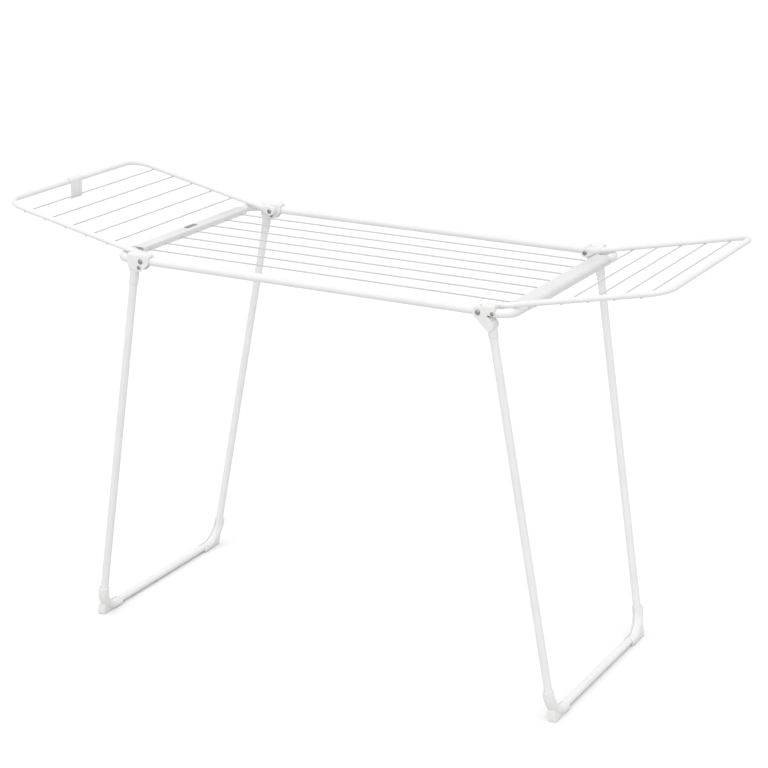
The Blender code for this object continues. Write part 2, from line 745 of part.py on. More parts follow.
def make_leg(side):
    pivot_x, pivot_z = LEG_PIVOT[side]
    hinge = hinge_empty("leg_hinge_" + SIDE_NAME[side], (side * pivot_x, 0.0, pivot_z),
                        -side * LEG_ANGLE[side])
    make_leg_frame(side, hinge)
    for end in (FRONT, BACK):
        make_foot(side, end, hinge)
        if side == RIGHT:
            make_right_knuckle(end, hinge)
        else:
            make_left_knuckle(end, hinge)


# ------------------------------------------------------------------ wings
def make_wing_frame(side, hinge):
    corners = [(side * WING_TUBE_START, -WING_Y), (side * WING_LENGTH, -WING_Y),
               (side * WING_LENGTH, WING_Y), (side * WING_TUBE_START, WING_Y)]
    bm = bmesh.new()
    hollow_tube(bm, rounded_path(corners, WING_BEND_R, False),
                lambda flat: Vector((flat.x, flat.y, WING_RISE)), Vector((0.0, 0.0, 1.0)), WING_R, WING_WALL)
    return finish_mesh("wing_frame_" + SIDE_NAME[side], bm, white_coat(), hinge)


def make_wing_wires(side, hinge):
    z = WING_RISE - (WING_R + WING_WIRE_R + GAP)
    for i in range(WING_WIRE_COUNT):
        x = side * (WING_WIRE_FIRST + i * WING_WIRE_PITCH)
        cylinder("wing_wire_%s_%d" % (SIDE_NAME[side], i + 1), (x, -WING_WIRE_HALF_LENGTH, z),
                 (x, WING_WIRE_HALF_LENGTH, z), WING_WIRE_R, WIRE_SIDES, hinge, wire_coat())


def make_wing_knuckle(side, end, hinge):
    """A plastic end piece: an eye on the rivet beside the rail and a socket for the side tube."""
    eye_out = (CHEEK_OUT if side == RIGHT else SADDLE_SIDE) + GAP
    y0 = end * (RAIL_Y - eye_out)
    y1 = end * (RAIL_Y - EYE_IN)
    outline = hull_outline([(0.0, 0.0, EYE_R), (side * 0.0180, WING_RISE, WING_SLEEVE_R - 0.0006)], 3)
    knuckle = plate("wing_knuckle_%s_%s" % (SIDE_NAME[side], END_NAME[end]), outline,
                    min(y0, y1), max(y0, y1), hinge)
    y = end * WING_Y
    sleeve = cylinder("sleeve", (side * (WING_TUBE_START - 0.0015), y, WING_RISE),
                      (side * WING_SLEEVE_END, y, WING_RISE), WING_SLEEVE_R, TUBE_SIDES, hinge)
    combine(knuckle, sleeve, "UNION")
    bore = cylinder("bore", (side * (WING_TUBE_START - 2.0 * GAP), y, WING_RISE),
                    (side * (WING_SLEEVE_END + 0.01), y, WING_RISE), WING_BORE_R, TUBE_SIDES, hinge)
    combine(knuckle, bore, "DIFFERENCE")
    return combine(knuckle, across_bore(0.0, y, 0.0, RIVET_R, hinge), "DIFFERENCE")


def make_wing(side):
    hinge = hinge_empty("wing_hinge_" + SIDE_NAME[side], (side * PIVOT_X, 0.0, RAIL_Z), -side * WING_TILT)
    make_wing_frame(side, hinge)
    make_wing_wires(side, hinge)
    for end in (FRONT, BACK):
        make_wing_knuckle(side, end, hinge)
    return hinge


def make_clip(wing_hinge):
    """A loose plastic hook around the left wing's outer bar that keeps the folded rack shut."""
    hinge = hinge_empty("clip_hinge", (-WING_LENGTH, 0.0, WING_RISE), -WING_TILT, wing_hinge)
    middle_r = WING_R + GAP + CLIP_WALL / 2.0
    ring = arc((0.0, 0.0), middle_r, math.radians(190.0), math.radians(-5.0), 12)
    tab = [(middle_r, -CLIP_DROP * 0.5), (middle_r, -CLIP_DROP + CLIP_LIP * 0.4)]
    lip = [(middle_r - CLIP_LIP * 0.35, -CLIP_DROP), (middle_r - CLIP_LIP, -CLIP_DROP + CLIP_LIP * 0.2)]
    outline = strip_outline(ring + tab + lip, CLIP_WALL)
    return plate("folding_clip", outline, -CLIP_WIDTH / 2.0, CLIP_WIDTH / 2.0, hinge)


def main():
    for old in list(bpy.data.objects):
        bpy.data.objects.remove(old)
    make_deck_frame()
    for side in (LEFT, RIGHT):
        make_wire_carrier(side)
    make_deck_wires()
    make_blank_label()
    for end in (FRONT, BACK):
        make_right_saddle(end)
        make_left_saddle(end)
        make_rivets(end)
    for side in (LEFT, RIGHT):
        make_leg(side)
    make_wing(RIGHT)
    make_clip(make_wing(LEFT))


main()
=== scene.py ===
import json
import math

import bmesh
import bpy
from mathutils import Matrix, Vector


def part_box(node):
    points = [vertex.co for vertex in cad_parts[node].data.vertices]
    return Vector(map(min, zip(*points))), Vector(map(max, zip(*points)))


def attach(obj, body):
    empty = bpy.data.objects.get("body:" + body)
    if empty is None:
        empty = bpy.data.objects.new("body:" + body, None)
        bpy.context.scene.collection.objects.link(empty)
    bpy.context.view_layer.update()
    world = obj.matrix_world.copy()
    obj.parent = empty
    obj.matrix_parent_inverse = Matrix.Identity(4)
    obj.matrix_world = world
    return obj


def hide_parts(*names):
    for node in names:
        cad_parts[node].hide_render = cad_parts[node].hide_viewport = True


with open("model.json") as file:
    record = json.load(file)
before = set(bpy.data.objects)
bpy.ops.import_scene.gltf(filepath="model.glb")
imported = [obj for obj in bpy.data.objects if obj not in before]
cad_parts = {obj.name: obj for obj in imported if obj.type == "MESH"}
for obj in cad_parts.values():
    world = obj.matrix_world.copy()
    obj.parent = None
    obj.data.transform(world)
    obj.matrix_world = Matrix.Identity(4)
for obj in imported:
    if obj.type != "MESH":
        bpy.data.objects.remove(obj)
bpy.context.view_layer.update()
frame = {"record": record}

# The rack's own frame: +Z up, X along the rack, Y across it, front at -Y, left at -X, metres.
FRONT = -1
BACK = 1
LEFT = -1
RIGHT = 1
SIDE_NAME = {LEFT: "left", RIGHT: "right"}
END_NAME = {FRONT: "front", BACK: "back"}
ENDS = (FRONT, BACK)
SIDES = (LEFT, RIGHT)

JOINTS = {joint["name"]: joint for joint in frame["record"]["behaviour"]["joints"]}


def joint_place(name):
    return Vector(JOINTS[name]["pos_m"])


# ---- sizes taken over from the model
GAP = 0.0003
RAIL_Y = 0.275
RAIL_R = 0.009
END_BAR_X = 0.468
DECK_BEND_R = 0.031
DECK_WIRE_COUNT = 7
DECK_WIRE_PITCH = 0.0627
DECK_WIRE_R = 0.0016
DECK_WIRE_END_X = 0.4550
CARRIER_HALF_LENGTH = 0.213
CARRIER_LIP_X = 0.4425
CARRIER_THICKNESS = 0.0012
CARRIER_LIP_DEPTH = 0.0125
CARRIER_WRAP = math.radians(118.0)
CARRIER_FOLD_R = 0.0020

WING_PIVOT = joint_place("right_wing_fold")
LEFT_LEG_PIVOT = joint_place("left_leg_fold")
CLIP_PIVOT = joint_place("clip_swing")
PIVOT_X = WING_PIVOT.x
RAIL_Z = WING_PIVOT.z
LEFT_PIVOT_X = -LEFT_LEG_PIVOT.x
LEFT_PIVOT_DROP = RAIL_Z - LEFT_LEG_PIVOT.z

SADDLE_WALL = 0.0025
SADDLE_TOP = 0.0172
SADDLE_SIDE = RAIL_R + GAP + SADDLE_WALL
CHEEK_THICKNESS = 0.0022
CHEEK_IN = SADDLE_SIDE + GAP
CHEEK_OUT = CHEEK_IN + CHEEK_THICKNESS
EYE_R = 0.0100
EYE_IN = 0.0285

LEG_R = 0.0085
LEG_BEND_R = 0.055
LEG_TAPER = 0.0357
FLOOR_BAR_Z = 0.0100
FOOT_X = 0.569
SLEEVE_R = 0.0100
LEG_OFFSET = {LEFT: 0.0168, RIGHT: 0.0195}
LEG_PIVOT = {LEFT: (LEFT_PIVOT_X, LEFT_LEG_PIVOT.z), RIGHT: (PIVOT_X, RAIL_Z)}
LEG_TUBE_TOP = {LEFT: -0.0140, RIGHT: -0.0240}
FOOT_R = 0.0120
FOOT_OUTWARD = 0.0020
FOOT_LEG_LENGTH = 0.060
FOOT_BAR_LENGTH = 0.066
FOOT_BORE_R = LEG_R + GAP
FOOT_SLOT_WIDTH = 0.0100
FOOT_TOE_Y = 0.2480
FOOT_HEEL_Y = 0.1900
FOOT_SHOE_WIDTH = 0.0170
FOOT_SHOE_HEIGHT = 0.0300

WING_Y = 0.2525
WING_R = 0.0060
WING_RISE = 0.0019
WING_LENGTH = 0.3890
WING_BEND_R = 0.045
WING_TUBE_START = 0.0155
WING_TILT = (math.atan2(CLIP_PIVOT.z - RAIL_Z, -CLIP_PIVOT.x - PIVOT_X)
             - math.atan2(WING_RISE, WING_LENGTH))
WING_WIRE_COUNT = 5
WING_WIRE_R = 0.0015
WING_WIRE_FIRST = 0.1105
WING_WIRE_PITCH = 0.0560
WING_WIRE_HALF_LENGTH = 0.2565
WING_SLEEVE_R = 0.0076
WING_SLEEVE_END = 0.0400
WING_EYE_NECK_X = 0.0180
SLEEVE_LAP = 0.0015

# ---- sizes of the moulded parts
SADDLE_CORNER_R = 0.0070
SADDLE_CUT_MARGIN = 0.01
RIGHT_CHANNEL_DEPTH = 0.02
LEFT_CHANNEL_DEPTH = 0.05
LEFT_CROWN_DEPTH = 0.04
LEFT_CUT_SPAN = (-0.46, -0.36)
LEFT_CROWN_R = 0.0060
LEFT_SKIRT_R = 0.0050
LEFT_SKIRT_DROP = 0.0130
LEFT_LUG_R = 0.0095
LEFT_NOSE_R = 0.0100
LEFT_RIM_R = 0.0078
LEFT_RIM_PROUD = 0.0002

COLLAR_LENGTH = 0.0050
COLLAR_PROUD = 0.0004
RIGHT_SLEEVE = (-0.0200, -0.0560)
LEFT_SLEEVE = (-0.0106, -0.0445)
RIGHT_CHEEK_R = 0.0125
RIGHT_CHEEK_Z = -0.0300
RIGHT_BOSS_R = 0.0062
RIGHT_BOSS_LAP = 0.0008
RIGHT_CUT_REACH = (-0.03, 0.05)
RIGHT_CUT_HEIGHT = (-0.06, 0.03)
LEFT_SHOULDER_Z = -0.0160

FOOT_CUT_MARGIN = 0.02
FOOT_BORE_MARGIN = 0.01

BEAD_R = 0.0018
BEAD_SHAPE = (1.15, 1.35, 0.75)
BEAD_OUTWARD = 0.0005
BEAD_SINK = 0.0004

# Rivets: shank radius, head radius, head height.
WING_RIVET = (0.0030, 0.0058, 0.0026)
LEG_RIVET = (0.0025, 0.0046, 0.0020)
SADDLE_RIVET = (0.0022, 0.0044, 0.0014)

CLIP_WALL = 0.0022
CLIP_WIDTH = 0.0420
CLIP_DROP = 0.0400
CLIP_LIP = 0.0070
CLIP_GRIP = (math.radians(190.0), math.radians(-5.0))

# ---- the camera and the studio
CAMERA_PLACE = (2.1551, -3.9518, 2.0382)
CAMERA_YAW = math.radians(28.174)
CAMERA_PITCH = math.radians(-17.956)
CAMERA_ROLL = math.radians(0.236)
FLOOR_HALF_SIZE = 60.0
FLOOR_DROP = 0.0002

# ---- fineness of the round shapes
TUBE_SIDES = 32
TUBE_BEND_POINTS = 18
WIRE_SIDES = 14
ELBOW_SIDES = 48
PLASTIC_VOXEL = 0.0007


# ------------------------------------------------------------------ finishes
def new_finish(name, color, roughness, metallic=0.0):
    """A Principled material with its colour, roughness and metal set on the shader's own sockets."""
    made = bpy.data.materials.new(name)
    made.use_nodes = True
    shader = made.node_tree.nodes["Principled BSDF"]
    shader.inputs["Base Color"].default_value = (*color, 1.0)
    shader.inputs["Roughness"].default_value = roughness
    shader.inputs["Metallic"].default_value = metallic
    return made, made.node_tree.nodes, made.node_tree.links, shader


def grain(nodes, links, feature, detail=2.0, roughness=0.5, stretch=None):
    """Noise in the rack's own space, with bumps about one feature size apart."""
    place = nodes.new("ShaderNodeTexCoord")
    source = place.outputs["Object"]
    if stretch:
        mapping = nodes.new("ShaderNodeMapping")
        mapping.inputs["Scale"].default_value = stretch
        links.new(source, mapping.inputs["Vector"])
        source = mapping.outputs["Vector"]
    noise = nodes.new("ShaderNodeTexNoise")
    noise.inputs["Scale"].default_value = 1.0 / feature
    noise.inputs["Detail"].default_value = detail
    noise.inputs["Roughness"].default_value = roughness
    links.new(source, noise.inputs["Vector"])
    return noise.outputs["Fac"]


def remap(nodes, links, value, low, high, to_low, to_high):
    ranged = nodes.new("ShaderNodeMapRange")
    ranged.inputs["From Min"].default_value = low
    ranged.inputs["From Max"].default_value = high
    ranged.inputs["To Min"].default_value = to_low
    ranged.inputs["To Max"].default_value = to_high
    links.new(value, ranged.inputs["Value"])
    return ranged.outputs["Result"]


def tint(nodes, links, factor, dark, light):
    """A colour between two close tones."""
    ramp = nodes.new("ShaderNodeMix")
    ramp.data_type = "RGBA"
    ramp.inputs["A"].default_value = (*dark, 1.0)
    ramp.inputs["B"].default_value = (*light, 1.0)
    links.new(factor, ramp.inputs["Factor"])
    return ramp.outputs["Result"]


def bump(nodes, links, shader, height, strength, distance):
    node = nodes.new("ShaderNodeBump")
    node.inputs["Strength"].default_value = strength
    node.inputs["Distance"].default_value = distance
    links.new(height, node.inputs["Height"])
    links.new(node.outputs["Normal"], shader.inputs["Normal"])


def powder_coat(name, dark, light):
    """Baked-on white powder: satin, with a fine orange-peel skin and faint unevenness in tone."""
    made, nodes, links, shader = new_finish(name, light, 0.36)
    shader.inputs["Coat Weight"].default_value = 0.18
    shader.inputs["Coat Roughness"].default_value = 0.22
    cloud = grain(nodes, links, 0.060, detail=3.0)
    links.new(tint(nodes, links, remap(nodes, links, cloud, 0.3, 0.7, 0.0, 1.0), dark, light),
              shader.inputs["Base Color"])
    patch = grain(nodes, links, 0.018, detail=4.0, roughness=0.6)
    links.new(remap(nodes, links, patch, 0.3, 0.7, 0.30, 0.43), shader.inputs["Roughness"])
    peel = grain(nodes, links, 0.0016, detail=1.5)
    bump(nodes, links, shader, peel, 0.22, 0.00012)
    return made


def moulded_plastic(name, dark, light, grain_size=0.0006, grain_strength=0.18, low=0.40, high=0.54):
    """White moulded plastic: matt, with a fine spark-eroded texture and slow changes in tone."""
    made, nodes, links, shader = new_finish(name, light, (low + high) / 2.0)
    shader.inputs["Subsurface Weight"].default_value = 0.06
    shader.inputs["Subsurface Scale"].default_value = 0.002
    cloud = grain(nodes, links, 0.020, detail=3.0)
    links.new(tint(nodes, links, remap(nodes, links, cloud, 0.3, 0.7, 0.0, 1.0), dark, light),
              shader.inputs["Base Color"])
    patch = grain(nodes, links, 0.009, detail=4.0, roughness=0.6)
    links.new(remap(nodes, links, patch, 0.3, 0.7, low, high), shader.inputs["Roughness"])
    erosion = grain(nodes, links, grain_size, detail=2.0)
    bump(nodes, links, shader, erosion, grain_strength, 0.00010)
    return made


def foot_plastic_finish():
    """The hinge plastic's softer sister, with painted contact shade: grey streaks that darken it within 6 mm
    of the floor.
    """
    made = moulded_plastic("foot_moulding", (0.80, 0.80, 0.79), (0.84, 0.84, 0.83), low=0.48, high=0.62)
    nodes = made.node_tree.nodes
    links = made.node_tree.links
    shader = nodes["Principled BSDF"]
    plain_tone = shader.inputs["Base Color"].links[0].from_socket
    place = nodes.new("ShaderNodeTexCoord")
    split = nodes.new("ShaderNodeSeparateXYZ")
    links.new(place.outputs["Object"], split.inputs["Vector"])
    # Painted contact shade: the colour turns grey in streaks within 6 mm of the floor.
    low = remap(nodes, links, split.outputs["Z"], 0.0, 0.006, 1.0, 0.0)
    shade_noise = grain(nodes, links, 0.0035, detail=5.0, roughness=0.7)
    shade_streaks = remap(nodes, links, shade_noise, 0.45, 0.62, 0.0, 1.0)
    both = nodes.new("ShaderNodeMath")
    both.operation = "MULTIPLY"
    links.new(low, both.inputs[0])
    links.new(shade_streaks, both.inputs[1])
    painted_contact_shade = nodes.new("ShaderNodeMix")
    painted_contact_shade.data_type = "RGBA"
    painted_contact_shade.inputs["B"].default_value = (0.50, 0.49, 0.47, 1.0)
    links.new(both.outputs["Value"], painted_contact_shade.inputs["Factor"])
    links.new(plain_tone, painted_contact_shade.inputs["A"])
    links.new(painted_contact_shade.outputs["Result"], shader.inputs["Base Color"])
    return made


def plated_steel():
    """Dark, bright-plated rivets with fine turning marks and small dull spots."""
    made, nodes, links, shader = new_finish("rivet_plating", (0.36, 0.36, 0.37), 0.18, metallic=1.0)
    cloud = grain(nodes, links, 0.0018, detail=4.0)
    links.new(tint(nodes, links, cloud, (0.26, 0.26, 0.27), (0.46, 0.46, 0.47)), shader.inputs["Base Color"])
    links.new(remap(nodes, links, cloud, 0.35, 0.7, 0.12, 0.30), shader.inputs["Roughness"])
    marks = grain(nodes, links, 0.0006, detail=3.0, stretch=(1.0, 1.0, 6.0))
    bump(nodes, links, shader, marks, 0.15, 0.00005)
    return made


def dark_film():
    """A plain dark label film: slightly glossy, finely pebbled, nothing printed on it."""
    made, nodes, links, shader = new_finish("label_dark_film", (0.16, 0.165, 0.17), 0.35)
    shader.inputs["Coat Weight"].default_value = 0.3
    cloud = grain(nodes, links, 0.004, detail=3.0)
    links.new(tint(nodes, links, cloud, (0.13, 0.135, 0.14), (0.19, 0.195, 0.20)),
              shader.inputs["Base Color"])
    links.new(remap(nodes, links, cloud, 0.3, 0.7, 0.28, 0.42), shader.inputs["Roughness"])
    bump(nodes, links, shader, grain(nodes, links, 0.0008), 0.12, 0.00005)
    return made


def floor_paint():
    """A plain white studio floor, faintly mottled; it looks paler than the light it throws back up."""
    made, nodes, links, shader = new_finish("studio_floor", (0.84, 0.84, 0.84), 0.85)
    shader.inputs["Specular IOR Level"].default_value = 0.2
    cloud = grain(nodes, links, 0.9, detail=2.0)
    seen = tint(nodes, links, cloud, (0.915, 0.915, 0.915), (0.925, 0.925, 0.925))
    path = nodes.new("ShaderNodeLightPath")
    mixed = nodes.new("ShaderNodeMix")
    mixed.data_type = "RGBA"
    mixed.inputs["A"].default_value = (0.60, 0.60, 0.60, 1.0)
    links.new(path.outputs["Is Camera Ray"], mixed.inputs["Factor"])
    links.new(seen, mixed.inputs["B"])
    links.new(mixed.outputs["Result"], shader.inputs["Base Color"])
    return made


TUBE_COAT = powder_coat("tube_powder_coat", (0.81, 0.81, 0.81), (0.85, 0.85, 0.85))
CARRIER_COAT = powder_coat("carrier_powder_coat", (0.72, 0.72, 0.72), (0.76, 0.76, 0.76))
WIRE_COAT = powder_coat("wire_powder_coat", (0.58, 0.58, 0.58), (0.63, 0.63, 0.63))
HINGE_PLASTIC = moulded_plastic("hinge_moulding", (0.79, 0.79, 0.785), (0.83, 0.83, 0.825))
CLIP_PLASTIC = moulded_plastic("clip_moulding", (0.80, 0.80, 0.795), (0.84, 0.84, 0.835), 0.0009, 0.10)
FOOT_PLASTIC = foot_plastic_finish()
RIVET_STEEL = plated_steel()
LABEL_FILM = dark_film()


# ------------------------------------------------------------------ node trees
def socket_input(tree, name, kind, default=None):
    made = tree.interface.new_socket(name, in_out="INPUT", socket_type=kind)
    if default is not None:
        made.default_value = default
    return made


def start_tree(name, inputs):
    """A geometry tree with a geometry socket at each end and named inputs for its sizes."""
    tree = bpy.data.node_groups.new(name, "GeometryNodeTree")
    socket_input(tree, "Geometry", "NodeSocketGeometry")
    for label, kind, default in inputs:
        socket_input(tree, label, kind, default)
    socket_input(tree, "Finish", "NodeSocketMaterial")
    tree.interface.new_socket("Geometry", in_out="OUTPUT", socket_type="NodeSocketGeometry")
    return tree, tree.nodes.new("NodeGroupInput"), tree.nodes.new("NodeGroupOutput")


def end_tree(tree, source, geometry, sink, smooth=True):
    """Shade smooth, realize the instances and set the material."""
    links = tree.links
    if smooth:
        shade = tree.nodes.new("GeometryNodeSetShadeSmooth")
        links.new(geometry, shade.inputs["Geometry"])
        geometry = shade.outputs["Geometry"]
    realize = tree.nodes.new("GeometryNodeRealizeInstances")
    coat = tree.nodes.new("GeometryNodeSetMaterial")
    links.new(geometry, realize.inputs["Geometry"])
    links.new(realize.outputs["Geometry"], coat.inputs["Geometry"])
    links.new(source.outputs["Finish"], coat.inputs["Material"])
    links.new(coat.outputs["Geometry"], sink.inputs["Geometry"])
    return tree


def bent_tube_tree():
    """Round tube along the input's corner points, with every corner bent to one radius."""
    tree, source, sink = start_tree("bent_tube", [
        ("Bend radius", "NodeSocketFloat", 0.04), ("Bend points", "NodeSocketInt", 12),
        ("Tube radius", "NodeSocketFloat", 0.008), ("Sides", "NodeSocketInt", 24)])
    nodes = tree.nodes
    links = tree.links
    route = nodes.new("GeometryNodeMeshToCurve")
    fillet = nodes.new("GeometryNodeFilletCurve")
    if hasattr(fillet, "mode"):
        fillet.mode = "POLY"
    fillet.inputs["Limit Radius"].default_value = False
    profile = nodes.new("GeometryNodeCurvePrimitiveCircle")
    skin = nodes.new("GeometryNodeCurveToMesh")
    skin.inputs["Fill Caps"].default_value = True
    links.new(source.outputs["Geometry"], route.inputs["Mesh"])
    links.new(route.outputs["Curve"], fillet.inputs["Curve"])
    links.new(source.outputs["Bend radius"], fillet.inputs["Radius"])
    links.new(source.outputs["Bend points"], fillet.inputs["Count"])
    links.new(source.outputs["Sides"], profile.inputs["Resolution"])
    links.new(source.outputs["Tube radius"], profile.inputs["Radius"])
    links.new(fillet.outputs["Curve"], skin.inputs["Curve"])
    links.new(profile.outputs["Curve"], skin.inputs["Profile Curve"])
    return end_tree(tree, source, skin.outputs["Mesh"], sink)


def wire_row_tree():
    """A row of straight wires along Y, a pitch apart along X, each with domed ends."""
    tree, source, sink = start_tree("wire_row", [
        ("Count", "NodeSocketInt", 5), ("First", "NodeSocketFloat", 0.1), ("Pitch", "NodeSocketFloat", 0.05),
        ("Half length", "NodeSocketFloat", 0.25), ("Wire radius", "NodeSocketFloat", 0.0015),
        ("Sides", "NodeSocketInt", 12)])
    nodes = tree.nodes
    links = tree.links

    def vector(x=None, y=None, z=None):
        made = nodes.new("ShaderNodeCombineXYZ")
        for axis, value in (("X", x), ("Y", y), ("Z", z)):
            if value is not None:
                links.new(value, made.inputs[axis])
        return made.outputs["Vector"]

    def negative(value):
        made = nodes.new("ShaderNodeMath")
        made.operation = "MULTIPLY"
        made.inputs[1].default_value = -1.0
        links.new(value, made.inputs[0])
        return made.outputs["Value"]

    places = nodes.new("GeometryNodeMeshLine")
    links.new(source.outputs["Count"], places.inputs["Count"])
    links.new(vector(x=source.outputs["First"]), places.inputs["Start Location"])
    links.new(vector(x=source.outputs["Pitch"]), places.inputs["Offset"])
    half = source.outputs["Half length"]
    line = nodes.new("GeometryNodeCurvePrimitiveLine")
    links.new(vector(y=negative(half)), line.inputs["Start"])
    links.new(vector(y=half), line.inputs["End"])
    profile = nodes.new("GeometryNodeCurvePrimitiveCircle")
    links.new(source.outputs["Sides"], profile.inputs["Resolution"])
    links.new(source.outputs["Wire radius"], profile.inputs["Radius"])
    skin = nodes.new("GeometryNodeCurveToMesh")
    links.new(line.outputs["Curve"], skin.inputs["Curve"])
    links.new(profile.outputs["Curve"], skin.inputs["Profile Curve"])
    ball = nodes.new("GeometryNodeMeshUVSphere")
    ball.inputs["Rings"].default_value = 8
    links.new(source.outputs["Sides"], ball.inputs["Segments"])
    links.new(source.outputs["Wire radius"], ball.inputs["Radius"])
    one_wire = nodes.new("GeometryNodeJoinGeometry")
    links.new(skin.outputs["Mesh"], one_wire.inputs["Geometry"])
    for reach in (negative(half), half):
        move = nodes.new("GeometryNodeTransform")
        links.new(ball.outputs["Mesh"], move.inputs["Geometry"])
        links.new(vector(y=reach), move.inputs["Translation"])
        links.new(move.outputs["Geometry"], one_wire.inputs["Geometry"])
    place = nodes.new("GeometryNodeInstanceOnPoints")
    links.new(places.outputs["Mesh"], place.inputs["Points"])
    links.new(one_wire.outputs["Geometry"], place.inputs["Instance"])
    return end_tree(tree, source, place.outputs["Instances"], sink)


def placed_shape_tree():
    """One shape set on every input point, turned about Z by the point's own 'facing' angle."""
    tree, source, sink = start_tree("placed_shape", [("Shape", "NodeSocketObject", None)])
    nodes = tree.nodes
    links = tree.links
    shape = nodes.new("GeometryNodeObjectInfo")
    links.new(source.outputs["Shape"], shape.inputs["Object"])
    facing = nodes.new("GeometryNodeInputNamedAttribute")
    facing.data_type = "FLOAT"
    facing.inputs["Name"].default_value = "facing"
    turn = nodes.new("ShaderNodeCombineXYZ")
    links.new(facing.outputs["Attribute"], turn.inputs["Z"])
    place = nodes.new("GeometryNodeInstanceOnPoints")
    links.new(source.outputs["Geometry"], place.inputs["Points"])
    links.new(shape.outputs["Geometry"], place.inputs["Instance"])
    links.new(turn.outputs["Vector"], place.inputs["Rotation"])
    return end_tree(tree, source, place.outputs["Instances"], sink, smooth=False)


def grown(name, mesh, tree, sizes, place=None):
    """Run a tree on a mesh and keep the outcome as a plain mesh at its final place."""
    seed = bpy.data.objects.new(name + "_seed", mesh)
    bpy.context.collection.objects.link(seed)
    modifier = seed.modifiers.new("grow", "NODES")
    modifier.node_group = tree
    for item in tree.interface.items_tree:
        if item.item_type == "SOCKET" and item.in_out == "INPUT" and item.name in sizes:
            modifier[item.identifier] = sizes[item.name]
    graph = bpy.context.evaluated_depsgraph_get()
    made = bpy.data.meshes.new_from_object(seed.evaluated_get(graph))
    bpy.data.objects.remove(seed)
    made.name = name
    if place:
        made.transform(place)
    piece = bpy.data.objects.new(name, made)
    bpy.context.collection.objects.link(piece)
    return piece


BENT_TUBE = bent_tube_tree()
WIRE_ROW = wire_row_tree()
PLACED_SHAPE = placed_shape_tree()


# ------------------------------------------------------------------ mesh tools
def route_mesh(name, points, closed=False):
    """Corner points joined by edges."""
    mesh = bpy.data.meshes.new(name)
    edges = [(i, i + 1) for i in range(len(points) - 1)]
    if closed:
        edges.append((len(points) - 1, 0))
    mesh.from_pydata(points, edges, [])
    return mesh


def point_mesh(name, places):
    """Loose points, each with its facing angle; places hold (x, y, z, angle)."""
    mesh = bpy.data.meshes.new(name)
    mesh.from_pydata([place[:3] for place in places], [], [])
    facing = mesh.attributes.new("facing", "FLOAT", "POINT")
    for i, place in enumerate(places):
        facing.data[i].value = place[3]
    return mesh


def arc(center, radius, start, stop, steps):
    return [(center[0] + radius * math.cos(start + (stop - start) * i / steps),
             center[1] + radius * math.sin(start + (stop - start) * i / steps))
            for i in range(steps + 1)]


def hull_outline(circles, sides=64):
    """The outline of the convex hull of circles; circles hold (x, z, radius)."""
    points = []
    for x, z, radius in circles:
        points += arc((x, z), radius, 0.0, math.tau, sides)[:-1]
    points = sorted(set((round(x, 7), round(z, 7)) for x, z in points))

    def half(sequence):
        chain = []
        for point in sequence:
            while len(chain) > 1:
                (ax, az), (bx, bz) = chain[-2], chain[-1]
                if (bx - ax) * (point[1] - az) - (bz - az) * (point[0] - ax) > 1e-10:
                    break
                chain.pop()
            chain.append(point)
        return chain[:-1]
    return half(points) + half(points[::-1])


def strip_outline(path, thickness):
    """A closed outline of even thickness around an open plane route."""
    left = []
    right = []
    for i, point in enumerate(path):
        here = Vector(point)
        before = (here - Vector(path[i - 1])).normalized() if i else None
        after = (Vector(path[i + 1]) - here).normalized() if i < len(path) - 1 else None
        along = ((before or after) + (after or before)).normalized()
        across = Vector((-along.y, along.x)) * (thickness / 2.0 / along.dot(after or before))
        left.append(tuple(here + across))
        right.append(tuple(here - across))
    return left + right[::-1]


def prism(outline, to_3d, low, high):
    """A closed outline given thickness; to_3d turns (a, b, depth) into a point."""
    bm = bmesh.new()
    rings = [[bm.verts.new(to_3d(a, b, depth)) for a, b in outline] for depth in (low, high)]
    for ring in rings:
        bm.faces.new(ring)
    count = len(outline)
    for k in range(count):
        n = (k + 1) % count
        bm.faces.new((rings[0][k], rings[0][n], rings[1][n], rings[1][k]))
    bmesh.ops.recalc_face_normals(bm, faces=bm.faces)
    return bm


def plate(outline, y0, y1):
    """An outline in the XZ plane, thick along Y."""
    return prism(outline, lambda a, b, depth: (a, depth, b), min(y0, y1), max(y0, y1))


def bar_along_x(outline, x0, x1):
    """An outline in the YZ plane, long along X."""
    return prism(outline, lambda a, b, depth: (depth, a, b), x0, x1)


def rod(start, stop, radius, sides=48, stop_radius=None):
    """A closed cylinder or cone between two points."""
    start = Vector(start)
    stop = Vector(stop)
    bm = bmesh.new()
    bmesh.ops.create_cone(bm, cap_ends=True, segments=sides, radius1=radius,
                          radius2=radius if stop_radius is None else stop_radius,
                          depth=(stop - start).length)
    turn = (stop - start).to_track_quat("Z", "Y").to_matrix().to_4x4()
    bm.transform(Matrix.Translation((start + stop) / 2.0) @ turn)
    return bm


def spun(profile, sides=40):
    """A solid turned about the Y axis; profile holds (radius, y) pairs and starts and ends on the axis."""
    bm = bmesh.new()
    verts = [bm.verts.new((radius, y, 0.0)) for radius, y in profile]
    edges = [bm.edges.new(pair) for pair in zip(verts, verts[1:])]
    bmesh.ops.spin(bm, geom=verts + edges, cent=(0.0, 0.0, 0.0), axis=(0.0, 1.0, 0.0), angle=math.tau,
                   steps=sides, use_merge=True)
    bmesh.ops.remove_doubles(bm, verts=bm.verts, dist=1e-6)
    bmesh.ops.recalc_face_normals(bm, faces=bm.faces)
    return bm


def smooth_object(name, bm, finish, sharp=None):
    mesh = bpy.data.meshes.new(name)
    bm.to_mesh(mesh)
    bm.free()
    mesh.materials.append(finish)
    mesh.shade_smooth()
    if sharp:
        mesh.set_sharp_from_angle(angle=math.radians(sharp))
    made = bpy.data.objects.new(name, mesh)
    bpy.context.collection.objects.link(made)
    return made


